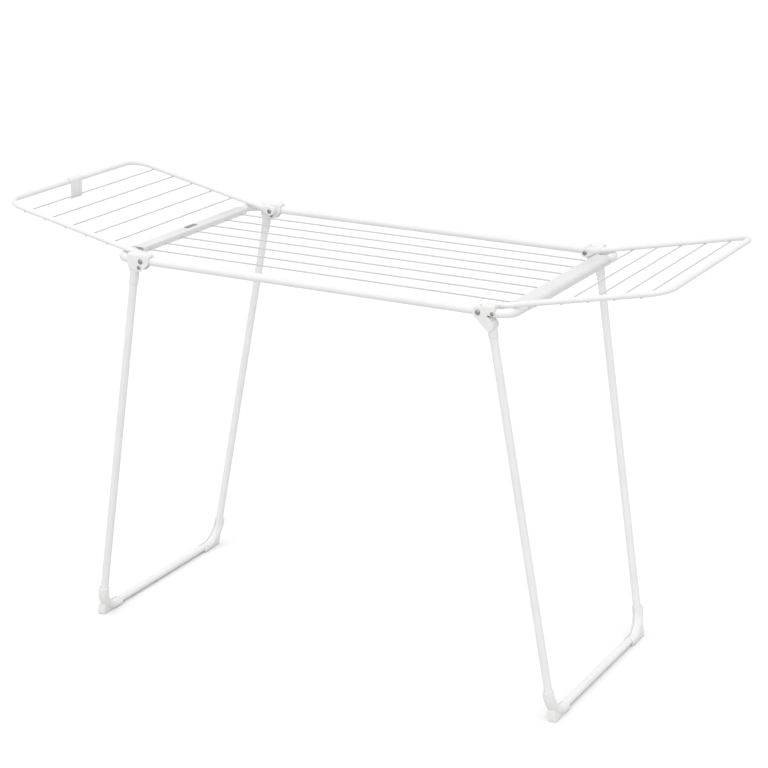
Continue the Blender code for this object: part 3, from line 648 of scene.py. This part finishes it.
def settle(piece, place=None):
    """Apply the live modifiers and the place, so that the object sits at the origin, unturned."""
    graph = bpy.context.evaluated_depsgraph_get()
    mesh = bpy.data.meshes.new_from_object(piece.evaluated_get(graph))
    piece.modifiers.clear()
    piece.data = mesh
    if place:
        mesh.transform(place)
    return piece


def combine(piece, shape, operation):
    """Join a closed solid to a piece, cut it away, or keep only what the two share."""
    tool = smooth_object("tool", shape, piece.data.materials[0])
    modifier = piece.modifiers.new("combine", "BOOLEAN")
    modifier.operation = operation
    modifier.solver = "EXACT"
    modifier.object = tool
    settle(piece)
    bpy.data.objects.remove(tool)


def back_to_solid(piece):
    """Turn a piece back into a loose solid, for joining to others."""
    shape = bmesh.new()
    shape.from_mesh(piece.data)
    bpy.data.objects.remove(piece)
    return shape


def break_edges(piece, width, segments, bevel_over, sharp_over, place=None):
    """Bevel the edges sharper than one angle and shade smooth all but those sharper than another."""
    edge = piece.modifiers.new("edge", "BEVEL")
    edge.width = width
    edge.segments = segments
    edge.limit_method = "ANGLE"
    edge.angle_limit = math.radians(bevel_over)
    settle(piece, place)
    piece.data.shade_smooth()
    piece.data.set_sharp_from_angle(angle=math.radians(sharp_over))


def moulded(name, solids, cuts, finish, place, voxel=PLASTIC_VOXEL, rounds=6):
    """Join closed solids, take the cuts away and melt the edges into small moulded radii."""
    piece = smooth_object(name, solids[0], finish)
    for shape in solids[1:]:
        combine(piece, shape, "UNION")
    for shape in cuts:
        combine(piece, shape, "DIFFERENCE")
    melt = piece.modifiers.new("melt", "REMESH")
    melt.mode = "VOXEL"
    melt.voxel_size = voxel
    melt.use_smooth_shade = True
    soften = piece.modifiers.new("soften", "SMOOTH")
    soften.factor = 0.5
    soften.iterations = rounds
    settle(piece, place)
    piece.data.materials.clear()
    piece.data.materials.append(finish)
    piece.data.shade_smooth()
    return piece


def hang(piece, body, slot, *nodes):
    """Say which body a finished piece moves with and what it stands for; the slot argument is not used."""
    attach(piece, body)
    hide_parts(*nodes)
    return piece


# ------------------------------------------------------------------ places
def hinge_place(x, z, tilt):
    """From a part's own square frame, with its pivot at the origin, to where it stands."""
    return Matrix.Translation((x, 0.0, z)) @ Matrix.Rotation(tilt, 4, "Y")


def wing_place(side):
    return hinge_place(side * PIVOT_X, RAIL_Z, -side * WING_TILT)


def leg_splay(side):
    """Splay angle and leg length that bring the floor bar to its place."""
    pivot_x, pivot_z = LEG_PIVOT[side]
    reach_x = FOOT_X - pivot_x
    reach_z = pivot_z - FLOOR_BAR_Z
    length = math.sqrt(reach_x ** 2 + reach_z ** 2 - LEG_OFFSET[side] ** 2)
    return math.atan2(reach_x, reach_z) - math.atan2(LEG_OFFSET[side], length), length


def leg_place(side):
    angle, _ = leg_splay(side)
    pivot_x, pivot_z = LEG_PIVOT[side]
    return hinge_place(side * pivot_x, pivot_z, -side * angle)


def leg_y(z):
    """Distance of a leg's centre line from the middle, z measured from its pivot in its own frame."""
    return RAIL_Y + LEG_TAPER * z


def deck_wire_y(index):
    return (index - (DECK_WIRE_COUNT - 1) / 2.0) * DECK_WIRE_PITCH


# ------------------------------------------------------------------ tubes and wires
def make_tube(name, body, corners, place, radius, bend, closed=False):
    sizes = {"Bend radius": bend, "Bend points": TUBE_BEND_POINTS, "Tube radius": radius,
             "Sides": TUBE_SIDES, "Finish": TUBE_COAT}
    tube = grown(name + "_tube", route_mesh(name, corners, closed), BENT_TUBE, sizes, place)
    return hang(tube, body, "tube_coating", name)


def make_tubes():
    deck_corners = [(side * END_BAR_X, end * RAIL_Y, RAIL_Z)
                    for side, end in ((RIGHT, FRONT), (RIGHT, BACK), (LEFT, BACK), (LEFT, FRONT))]
    make_tube("deck_frame", "deck", deck_corners, None, RAIL_R, DECK_BEND_R, True)
    for side in SIDES:
        name = SIDE_NAME[side]
        wing_corners = [(side * x, y, WING_RISE)
                        for x, y in ((WING_TUBE_START, -WING_Y), (WING_LENGTH, -WING_Y),
                                     (WING_LENGTH, WING_Y), (WING_TUBE_START, WING_Y))]
        make_tube("wing_frame_" + name, name + "_wing", wing_corners, wing_place(side),
                  WING_R, WING_BEND_R)
        _, length = leg_splay(side)
        top = LEG_TUBE_TOP[side]
        x = side * LEG_OFFSET[side]
        leg_corners = [(x, -leg_y(top), top), (x, -leg_y(-length), -length),
                       (x, leg_y(-length), -length), (x, leg_y(top), top)]
        make_tube("leg_frame_" + name, name + "_leg", leg_corners, leg_place(side), LEG_R, LEG_BEND_R)


def wire_row(name, count, first, pitch, half_length, radius, place):
    """A row of wires grown at one place as one piece."""
    sizes = {"Count": count, "First": first, "Pitch": pitch, "Half length": half_length - radius,
             "Wire radius": radius, "Sides": WIRE_SIDES, "Finish": WIRE_COAT}
    return grown(name, route_mesh("origin", [(0.0, 0.0, 0.0)]), WIRE_ROW, sizes, place)


def make_wires():
    along_deck = Matrix.Translation((0.0, 0.0, RAIL_Z)) @ Matrix.Rotation(math.pi / 2.0, 4, "Z")
    wires = wire_row("deck_wires", DECK_WIRE_COUNT, deck_wire_y(0), DECK_WIRE_PITCH, DECK_WIRE_END_X,
                     DECK_WIRE_R, along_deck)
    hang(wires, "deck", "wire_coating", *["deck_wire_%d" % (i + 1) for i in range(DECK_WIRE_COUNT)])
    drop = WING_RISE - (WING_R + 0.2 * WING_WIRE_R)
    for side in SIDES:
        name = SIDE_NAME[side]
        wires = wire_row("wing_wires_" + name, WING_WIRE_COUNT, side * WING_WIRE_FIRST,
                         side * WING_WIRE_PITCH, WING_WIRE_HALF_LENGTH, WING_WIRE_R,
                         wing_place(side) @ Matrix.Translation((0.0, 0.0, drop)))
        hang(wires, name + "_wing", "wire_coating",
             *["wing_wire_%s_%d" % (name, i + 1) for i in range(WING_WIRE_COUNT)])


def make_weld_beads():
    """The small flattened beads where each wing wire is welded under the two side tubes."""
    bm = bmesh.new()
    bmesh.ops.create_uvsphere(bm, u_segments=14, v_segments=8, radius=BEAD_R)
    bmesh.ops.scale(bm, vec=BEAD_SHAPE, verts=bm.verts)
    bead = smooth_object("bead", bm, TUBE_COAT)
    for side in SIDES:
        name = SIDE_NAME[side]
        places = [(side * (WING_WIRE_FIRST + i * WING_WIRE_PITCH), end * (WING_Y + BEAD_OUTWARD),
                   WING_RISE - WING_R + BEAD_SINK, 0.0)
                  for i in range(WING_WIRE_COUNT) for end in ENDS]
        beads = grown("weld_beads_" + name, point_mesh("bead_points", places), PLACED_SHAPE,
                      {"Shape": bead, "Finish": TUBE_COAT}, wing_place(side))
        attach(beads, name + "_wing")
    bpy.data.objects.remove(bead)


# ------------------------------------------------------------------ wire carriers and label
def carrier_path():
    """The pressed strip's middle line: round the end bar, over the flat and down the lip."""
    middle_r = RAIL_R + GAP + CARRIER_THICKNESS / 2.0
    wrap = arc((END_BAR_X, RAIL_Z), middle_r, math.pi / 2.0 - CARRIER_WRAP, math.pi / 2.0, 28)
    lip_x = CARRIER_LIP_X + CARRIER_THICKNESS / 2.0
    fold = arc((lip_x + CARRIER_FOLD_R, RAIL_Z + middle_r - CARRIER_FOLD_R), CARRIER_FOLD_R,
               math.pi / 2.0, math.pi, 8)
    return wrap + fold + [(lip_x, RAIL_Z + middle_r - CARRIER_LIP_DEPTH)]


def make_carriers():
    for side in SIDES:
        name = "wire_carrier_" + SIDE_NAME[side]
        outline = [(side * x, z) for x, z in strip_outline(carrier_path(), CARRIER_THICKNESS)]
        strip = smooth_object(name + "_strip", plate(outline, -CARRIER_HALF_LENGTH, CARRIER_HALF_LENGTH),
                              CARRIER_COAT)
        for i in range(DECK_WIRE_COUNT):
            combine(strip, rod((side * (CARRIER_LIP_X - 0.003), deck_wire_y(i), RAIL_Z),
                               (side * (CARRIER_LIP_X + 0.005), deck_wire_y(i), RAIL_Z),
                               DECK_WIRE_R + GAP, 20), "DIFFERENCE")
        break_edges(strip, 0.00025, 2, 40.0, 35.0)
        hang(strip, "deck", "carrier_coating", name)


def make_label():
    """A plain dark film with softly rounded corners, set on the left carrier's flat."""
    low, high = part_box("blank_label")
    corner = 0.0020
    outline = hull_outline([(x, y, corner) for x in (low.x + corner, high.x - corner)
                            for y in (low.y + corner, high.y - corner)], 32)
    shape = prism(outline, lambda a, b, depth: (a, b, depth), low.z, high.z)
    label = smooth_object("blank_label_film", shape, LABEL_FILM)
    break_edges(label, 0.00015, 3, 30.0, 35.0)
    hang(label, "deck", "label_film", "blank_label")


# ------------------------------------------------------------------ saddles
def crown_outline(y, low_z, side_reach=SADDLE_SIDE):
    """The saddle's cross-section: upright sides and a rounded crown."""
    corner = SADDLE_CORNER_R
    top = RAIL_Z + SADDLE_TOP - corner
    right = arc((side_reach - corner, top), corner, 0.0, math.pi / 2.0, 10)
    left = arc((-side_reach + corner, top), corner, math.pi / 2.0, math.pi, 10)
    outline = [(side_reach, RAIL_Z + low_z)] + right + left + [(-side_reach, RAIL_Z + low_z)]
    return [(a + y, b) for a, b in outline]


def channel_outline(y, low_z):
    """The room for the rail inside a saddle, open downwards."""
    inner = RAIL_R + GAP
    outline = [(inner, RAIL_Z + low_z)] + arc((0.0, RAIL_Z), inner, 0.0, math.pi, 32)
    return [(a + y, b) for a, b in outline + [(-inner, RAIL_Z + low_z)]]


def make_right_saddle(end):
    y = end * RAIL_Y
    name = "rail_saddle_right_" + END_NAME[end]
    low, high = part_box(name)
    saddle = moulded(name + "_moulding", [bar_along_x(crown_outline(y, low.z - RAIL_Z), low.x, high.x)],
                     [bar_along_x(channel_outline(y, -RIGHT_CHANNEL_DEPTH), low.x - SADDLE_CUT_MARGIN,
                                  high.x + SADDLE_CUT_MARGIN)],
                     HINGE_PLASTIC, None)
    hang(saddle, "deck", "hinge_plastic", name)


def make_left_saddle(end):
    y = end * RAIL_Y
    name = "rail_saddle_left_" + END_NAME[end]
    low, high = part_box(name)
    top = RAIL_Z + SADDLE_TOP - LEFT_CROWN_R
    outline = hull_outline([(low.x + LEFT_CROWN_R, top, LEFT_CROWN_R),
                            (high.x - LEFT_CROWN_R, top, LEFT_CROWN_R),
                            (low.x + LEFT_SKIRT_R, RAIL_Z - LEFT_SKIRT_DROP, LEFT_SKIRT_R),
                            (-LEFT_PIVOT_X, RAIL_Z - LEFT_PIVOT_DROP, LEFT_LUG_R),
                            (high.x - LEFT_NOSE_R, RAIL_Z, LEFT_NOSE_R)])
    body = smooth_object("body", plate(outline, y - SADDLE_SIDE, y + SADDLE_SIDE), HINGE_PLASTIC)
    combine(body, bar_along_x(crown_outline(y, -LEFT_CROWN_DEPTH), *LEFT_CUT_SPAN), "INTERSECT")
    rim = rod((-PIVOT_X, y - end * 0.002, RAIL_Z),
              (-PIVOT_X, y + end * (SADDLE_SIDE + LEFT_RIM_PROUD), RAIL_Z), LEFT_RIM_R)
    saddle = moulded(name + "_moulding", [back_to_solid(body), rim],
                     [bar_along_x(channel_outline(y, -LEFT_CHANNEL_DEPTH), *LEFT_CUT_SPAN)],
                     HINGE_PLASTIC, None)
    hang(saddle, "deck", "hinge_plastic", name)


# ------------------------------------------------------------------ leg knuckles and feet
def leg_point(side, end, z):
    return (side * LEG_OFFSET[side], end * leg_y(z), z)


def sleeve_solids(side, end, top, mouth):
    """The round leg socket, flared at its mouth by a low collar."""
    mouth_point = leg_point(side, end, mouth)
    return [rod(leg_point(side, end, top), mouth_point, SLEEVE_R),
            rod(leg_point(side, end, mouth + COLLAR_LENGTH), mouth_point, SLEEVE_R, 48,
                SLEEVE_R + COLLAR_PROUD)]


def make_right_knuckle(end):
    """Two cheeks outside the saddle, joined to the leg's sleeve under it."""
    y = end * RAIL_Y
    angle, _ = leg_splay(RIGHT)
    name = "leg_knuckle_right_" + END_NAME[end]
    outline = hull_outline([(0.0, 0.0, RIGHT_CHEEK_R), (LEG_OFFSET[RIGHT], RIGHT_CHEEK_Z, SLEEVE_R)])
    boss_in = RAIL_R + GAP
    boss_out = CHEEK_IN + RIGHT_BOSS_LAP
    bosses = [rod((0.0, y + sign * boss_in, 0.0), (0.0, y + sign * boss_out, 0.0), RIGHT_BOSS_R)
              for sign in (-1.0, 1.0)]
    face = RAIL_R + 2.5 * GAP

    def shoulder(x):
        return -(RAIL_R + GAP) / math.cos(angle) - x * math.tan(angle)

    near_x, far_x = RIGHT_CUT_REACH
    low_z, high_z = RIGHT_CUT_HEIGHT
    slot = [(near_x, high_z), (near_x, low_z), (face, low_z), (face, shoulder(face)),
            (far_x, shoulder(far_x)), (far_x, high_z)]
    cheeks = smooth_object("cheeks", plate(outline, y - CHEEK_OUT, y + CHEEK_OUT), HINGE_PLASTIC)
    combine(cheeks, plate(slot, y - CHEEK_IN, y + CHEEK_IN), "DIFFERENCE")
    knuckle = moulded(name + "_moulding",
                      [back_to_solid(cheeks)] + bosses + sleeve_solids(RIGHT, end, *RIGHT_SLEEVE),
                      [], HINGE_PLASTIC, leg_place(RIGHT))
    hang(knuckle, "right_leg", "hinge_plastic", name)


def make_left_knuckle(end):
    """One solid eye that turns between the saddle's sides, under the rail."""
    y = end * RAIL_Y
    offset = LEG_OFFSET[LEFT]
    angle, _ = leg_splay(LEFT)
    boss_r = LEFT_PIVOT_DROP - RAIL_R - 1.5 * GAP
    name = "leg_knuckle_left_" + END_NAME[end]

    def under_rail(x):
        return (LEFT_PIVOT_DROP - RAIL_R - GAP) / math.cos(angle) - x * math.tan(angle)

    reach = offset + LEG_R
    outline = arc((0.0, 0.0), boss_r, math.pi / 2.0 - angle, math.pi * 1.5, 24)
    outline += [(offset - LEG_R, LEFT_SHOULDER_Z), (reach, LEFT_SHOULDER_Z), (reach, under_rail(reach))]
    outline = [(LEFT * x, z) for x, z in outline]
    knuckle = moulded(name + "_moulding",
                      [plate(outline, y - RAIL_R, y + RAIL_R)] + sleeve_solids(LEFT, end, *LEFT_SLEEVE),
                      [], HINGE_PLASTIC, leg_place(LEFT))
    hang(knuckle, "left_leg", "hinge_plastic", name)


def elbow(side, end, extra, outward, radius):
    """A solid round bar that follows the frame's bent corner, longer by extra at both ends."""
    _, length = leg_splay(side)
    x = side * LEG_OFFSET[side]
    low = -length - outward
    up = -length + FOOT_LEG_LENGTH + extra
    heel_y = leg_y(-length) - FOOT_BAR_LENGTH - extra
    corners = [(x, end * (leg_y(up) + outward), up), (x, end * (leg_y(low) + outward), low),
               (x, end * heel_y, low)]
    sizes = {"Bend radius": LEG_BEND_R + outward, "Bend points": TUBE_BEND_POINTS, "Tube radius": radius,
             "Sides": ELBOW_SIDES, "Finish": FOOT_PLASTIC}
    return back_to_solid(grown("elbow", route_mesh("elbow_route", corners), BENT_TUBE, sizes))


def leg_plane_plate(outline, side, thickness):
    """A closed (y, z) outline in the leg's own plane, thick across it."""
    x = side * LEG_OFFSET[side]
    return prism(outline, lambda a, b, depth: (x + depth, a, b), -thickness / 2.0, thickness / 2.0)


def ground_block(place):
    """Everything below the floor, seen from the square frame that place moves to the floor."""
    corners = [(-1.0, -0.4), (1.0, -0.4), (1.0, 0.4), (-1.0, 0.4)]
    block = prism(corners, lambda a, b, depth: (a, b, depth), -0.2, 0.0)
    block.transform(place.inverted())
    return block


def make_foot(side, end):
    """A snap-on shell over the bent corner, open along the inside of the bend, with a square-toed shoe."""
    name = "foot_%s_%s" % (SIDE_NAME[side], END_NAME[end])
    _, length = leg_splay(side)
    floor = -length
    place = leg_place(side)
    shoe = [(end * FOOT_TOE_Y, floor - 2.0 * FOOT_R), (end * FOOT_TOE_Y, floor + FOOT_SHOE_HEIGHT / 2.0),
            (end * (FOOT_TOE_Y - FOOT_SHOE_HEIGHT), floor), (end * FOOT_HEEL_Y, floor),
            (end * FOOT_HEEL_Y, floor - 2.0 * FOOT_R)]
    bar_end_y = end * (leg_y(floor) - FOOT_BAR_LENGTH - FOOT_CUT_MARGIN)
    leg_end_y = end * leg_y(floor + FOOT_LEG_LENGTH)
    leg_end_z = floor + FOOT_LEG_LENGTH + FOOT_CUT_MARGIN
    turn_y = leg_y(floor) - LEG_BEND_R
    bend = arc((turn_y, floor + LEG_BEND_R), LEG_BEND_R, 0.0, -math.pi / 2.0, 24)
    slot = [(leg_end_y, leg_end_z)] + [(end * y, z) for y, z in bend]
    slot += [(bar_end_y, floor), (bar_end_y, leg_end_z)]
    foot = moulded(name + "_moulding",
                   [elbow(side, end, 0.0, FOOT_OUTWARD, FOOT_R),
                    leg_plane_plate(shoe, side, FOOT_SHOE_WIDTH)],
                   [elbow(side, end, FOOT_BORE_MARGIN, 0.0, FOOT_BORE_R),
                    leg_plane_plate(slot, side, FOOT_SLOT_WIDTH), ground_block(place)],
                   FOOT_PLASTIC, place)
    for vert in foot.data.vertices:
        vert.co.z = max(vert.co.z, 0.0)
    hang(foot, SIDE_NAME[side] + "_leg", "foot_plastic", name)


# ------------------------------------------------------------------ wing knuckles
def make_wing_knuckle(side, end):
    name = "wing_knuckle_%s_%s" % (SIDE_NAME[side], END_NAME[end])
    eye_out = (CHEEK_OUT if side == RIGHT else SADDLE_SIDE) + GAP
    outline = hull_outline([(0.0, 0.0, EYE_R),
                            (side * WING_EYE_NECK_X, WING_RISE, WING_SLEEVE_R - 2.0 * GAP)])
    eye = plate(outline, end * (RAIL_Y - eye_out), end * (RAIL_Y - EYE_IN))
    y = end * WING_Y
    sleeve = rod((side * (WING_TUBE_START - SLEEVE_LAP), y, WING_RISE),
                 (side * WING_SLEEVE_END, y, WING_RISE), WING_SLEEVE_R)
    piece = moulded(name + "_moulding", [eye, sleeve], [], HINGE_PLASTIC, wing_place(side))
    hang(piece, SIDE_NAME[side] + "_wing", "hinge_plastic", name)


# ------------------------------------------------------------------ rivets
def make_rivet_set(name, places, seats, sizes, nodes):
    """Rivets along Y: a domed head with a small dimple outside, a rolled hollow tail inside."""
    outer, inner = seats
    shank_r, head_r, head_h = sizes
    tail_r = head_r * 0.9
    profile = [(0.0, -outer - head_h * 0.80), (head_r * 0.16, -outer - head_h * 0.82),
               (head_r * 0.24, -outer - head_h * 0.97), (head_r * 0.42, -outer - head_h),
               (head_r * 0.62, -outer - head_h * 0.90), (head_r * 0.80, -outer - head_h * 0.66),
               (head_r * 0.94, -outer - head_h * 0.34), (head_r, -outer - head_h * 0.12), (head_r, -outer),
               (shank_r, -outer), (shank_r, inner), (tail_r, inner), (tail_r, inner + 0.0006),
               (tail_r * 0.80, inner + 0.0013), (tail_r * 0.45, inner + 0.0013),
               (tail_r * 0.35, inner + 0.0004), (0.0, inner + 0.0004)]
    rivet = smooth_object("rivet", spun(profile), RIVET_STEEL, 50.0)
    made = grown(name, point_mesh("rivet_points", places), PLACED_SHAPE,
                 {"Shape": rivet, "Finish": RIVET_STEEL})
    bpy.data.objects.remove(rivet)
    hang(made, "deck", "rivet_metal", *nodes)


def make_rivets():
    def places(x, z):
        return [(x, end * RAIL_Y, z, 0.0 if end == FRONT else math.pi) for end in ENDS]

    def names(stem):
        return [stem + END_NAME[end] for end in ENDS]

    saddle_seat = SADDLE_SIDE + GAP
    make_rivet_set("wing_rivets_left", places(-PIVOT_X, RAIL_Z), (saddle_seat, EYE_IN + GAP),
                   WING_RIVET, names("wing_rivet_left_"))
    make_rivet_set("wing_rivets_right", places(PIVOT_X, RAIL_Z), (CHEEK_OUT + GAP, EYE_IN + GAP),
                   WING_RIVET, names("wing_rivet_right_"))
    make_rivet_set("leg_rivets_left", places(-LEFT_PIVOT_X, RAIL_Z - LEFT_PIVOT_DROP),
                   (saddle_seat, saddle_seat), LEG_RIVET, names("leg_rivet_left_"))
    low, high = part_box("saddle_rivet_right_front")
    make_rivet_set("saddle_rivets_right", places((low.x + high.x) / 2.0, RAIL_Z),
                   (saddle_seat, saddle_seat), SADDLE_RIVET, names("saddle_rivet_right_"))


# ------------------------------------------------------------------ clip
def make_clip():
    """The hook that hangs on the left wing's outer bar: a split ring, a flat tab and a turned-in lip."""
    middle_r = WING_R + GAP + CLIP_WALL / 2.0
    ring = arc((0.0, 0.0), middle_r, *CLIP_GRIP, 40)
    tab = [(middle_r, -CLIP_DROP * 0.5), (middle_r, -CLIP_DROP + 0.003)]
    turned_in = [(middle_r - CLIP_LIP * 0.35, -CLIP_DROP), (middle_r - CLIP_LIP, -CLIP_DROP + 0.0015)]
    outline = strip_outline(ring + tab + turned_in, CLIP_WALL)
    clip = smooth_object("folding_clip_hook", plate(outline, -CLIP_WIDTH / 2.0, CLIP_WIDTH / 2.0),
                         CLIP_PLASTIC)
    break_edges(clip, 0.0006, 3, 50.0, 40.0, Matrix.Translation(CLIP_PIVOT))
    hang(clip, "clip", "clip_plastic", "folding_clip")


# ------------------------------------------------------------------ studio
def soft_sun(name, toward, strength, spread):
    """A very large, far-off soft light; toward points from the rack to the light."""
    lamp = bpy.data.lights.new(name, "SUN")
    lamp.energy = strength
    lamp.angle = math.radians(spread)
    made = bpy.data.objects.new(name, lamp)
    bpy.context.collection.objects.link(made)
    made.rotation_euler = Vector(toward).to_track_quat("Z", "Y").to_euler()
    return made


def make_world(light, backdrop):
    """An even pale room: one level for the light it gives, another for what is seen behind the floor."""
    world = bpy.data.worlds.new("soft_room")
    world.use_nodes = True
    nodes = world.node_tree.nodes
    links = world.node_tree.links
    room = nodes["Background"]
    room.inputs["Color"].default_value = (1.0, 1.0, 1.0, 1.0)
    room.inputs["Strength"].default_value = light
    seen = nodes.new("ShaderNodeBackground")
    seen.inputs["Strength"].default_value = backdrop
    path = nodes.new("ShaderNodeLightPath")
    either = nodes.new("ShaderNodeMixShader")
    links.new(path.outputs["Is Camera Ray"], either.inputs["Fac"])
    links.new(room.outputs["Background"], either.inputs[1])
    links.new(seen.outputs["Background"], either.inputs[2])
    links.new(either.outputs["Shader"], nodes["World Output"].inputs["Surface"])
    bpy.context.scene.world = world


def make_studio():
    bm = bmesh.new()
    bmesh.ops.create_grid(bm, x_segments=1, y_segments=1, size=FLOOR_HALF_SIZE)
    floor = smooth_object("studio_floor", bm, floor_paint())
    floor.location.z = -FLOOR_DROP
    make_world(0.95, 1.0)
    soft_sun("key_light", (0.15, -0.75, 0.64), 0.75, 90.0)
    soft_sun("top_light", (0.05, 0.10, 1.0), 0.2, 80.0)
    bpy.context.scene.view_settings.view_transform = "Standard"


def make_camera():
    data = bpy.data.cameras.new("camera")
    data.sensor_width = 36.0
    data.lens = 100.2
    data.shift_x = -0.0001
    data.clip_start = 0.1
    data.clip_end = 200.0
    camera = bpy.data.objects.new("camera", data)
    bpy.context.collection.objects.link(camera)
    turn = Matrix.Rotation(CAMERA_YAW, 4, "Z") @ Matrix.Rotation(math.pi / 2.0 + CAMERA_PITCH, 4, "X")
    camera.matrix_world = (Matrix.Translation(CAMERA_PLACE) @ turn
                           @ Matrix.Rotation(CAMERA_ROLL, 4, "Z"))
    bpy.context.scene.camera = camera


make_studio()
make_camera()
make_tubes()
make_wires()
make_weld_beads()
make_carriers()
make_label()
for end in ENDS:
    make_right_saddle(end)
    make_left_saddle(end)
    make_right_knuckle(end)
    make_left_knuckle(end)
    for side in SIDES:
        make_wing_knuckle(side, end)
        make_foot(side, end)
make_rivets()
make_clip()
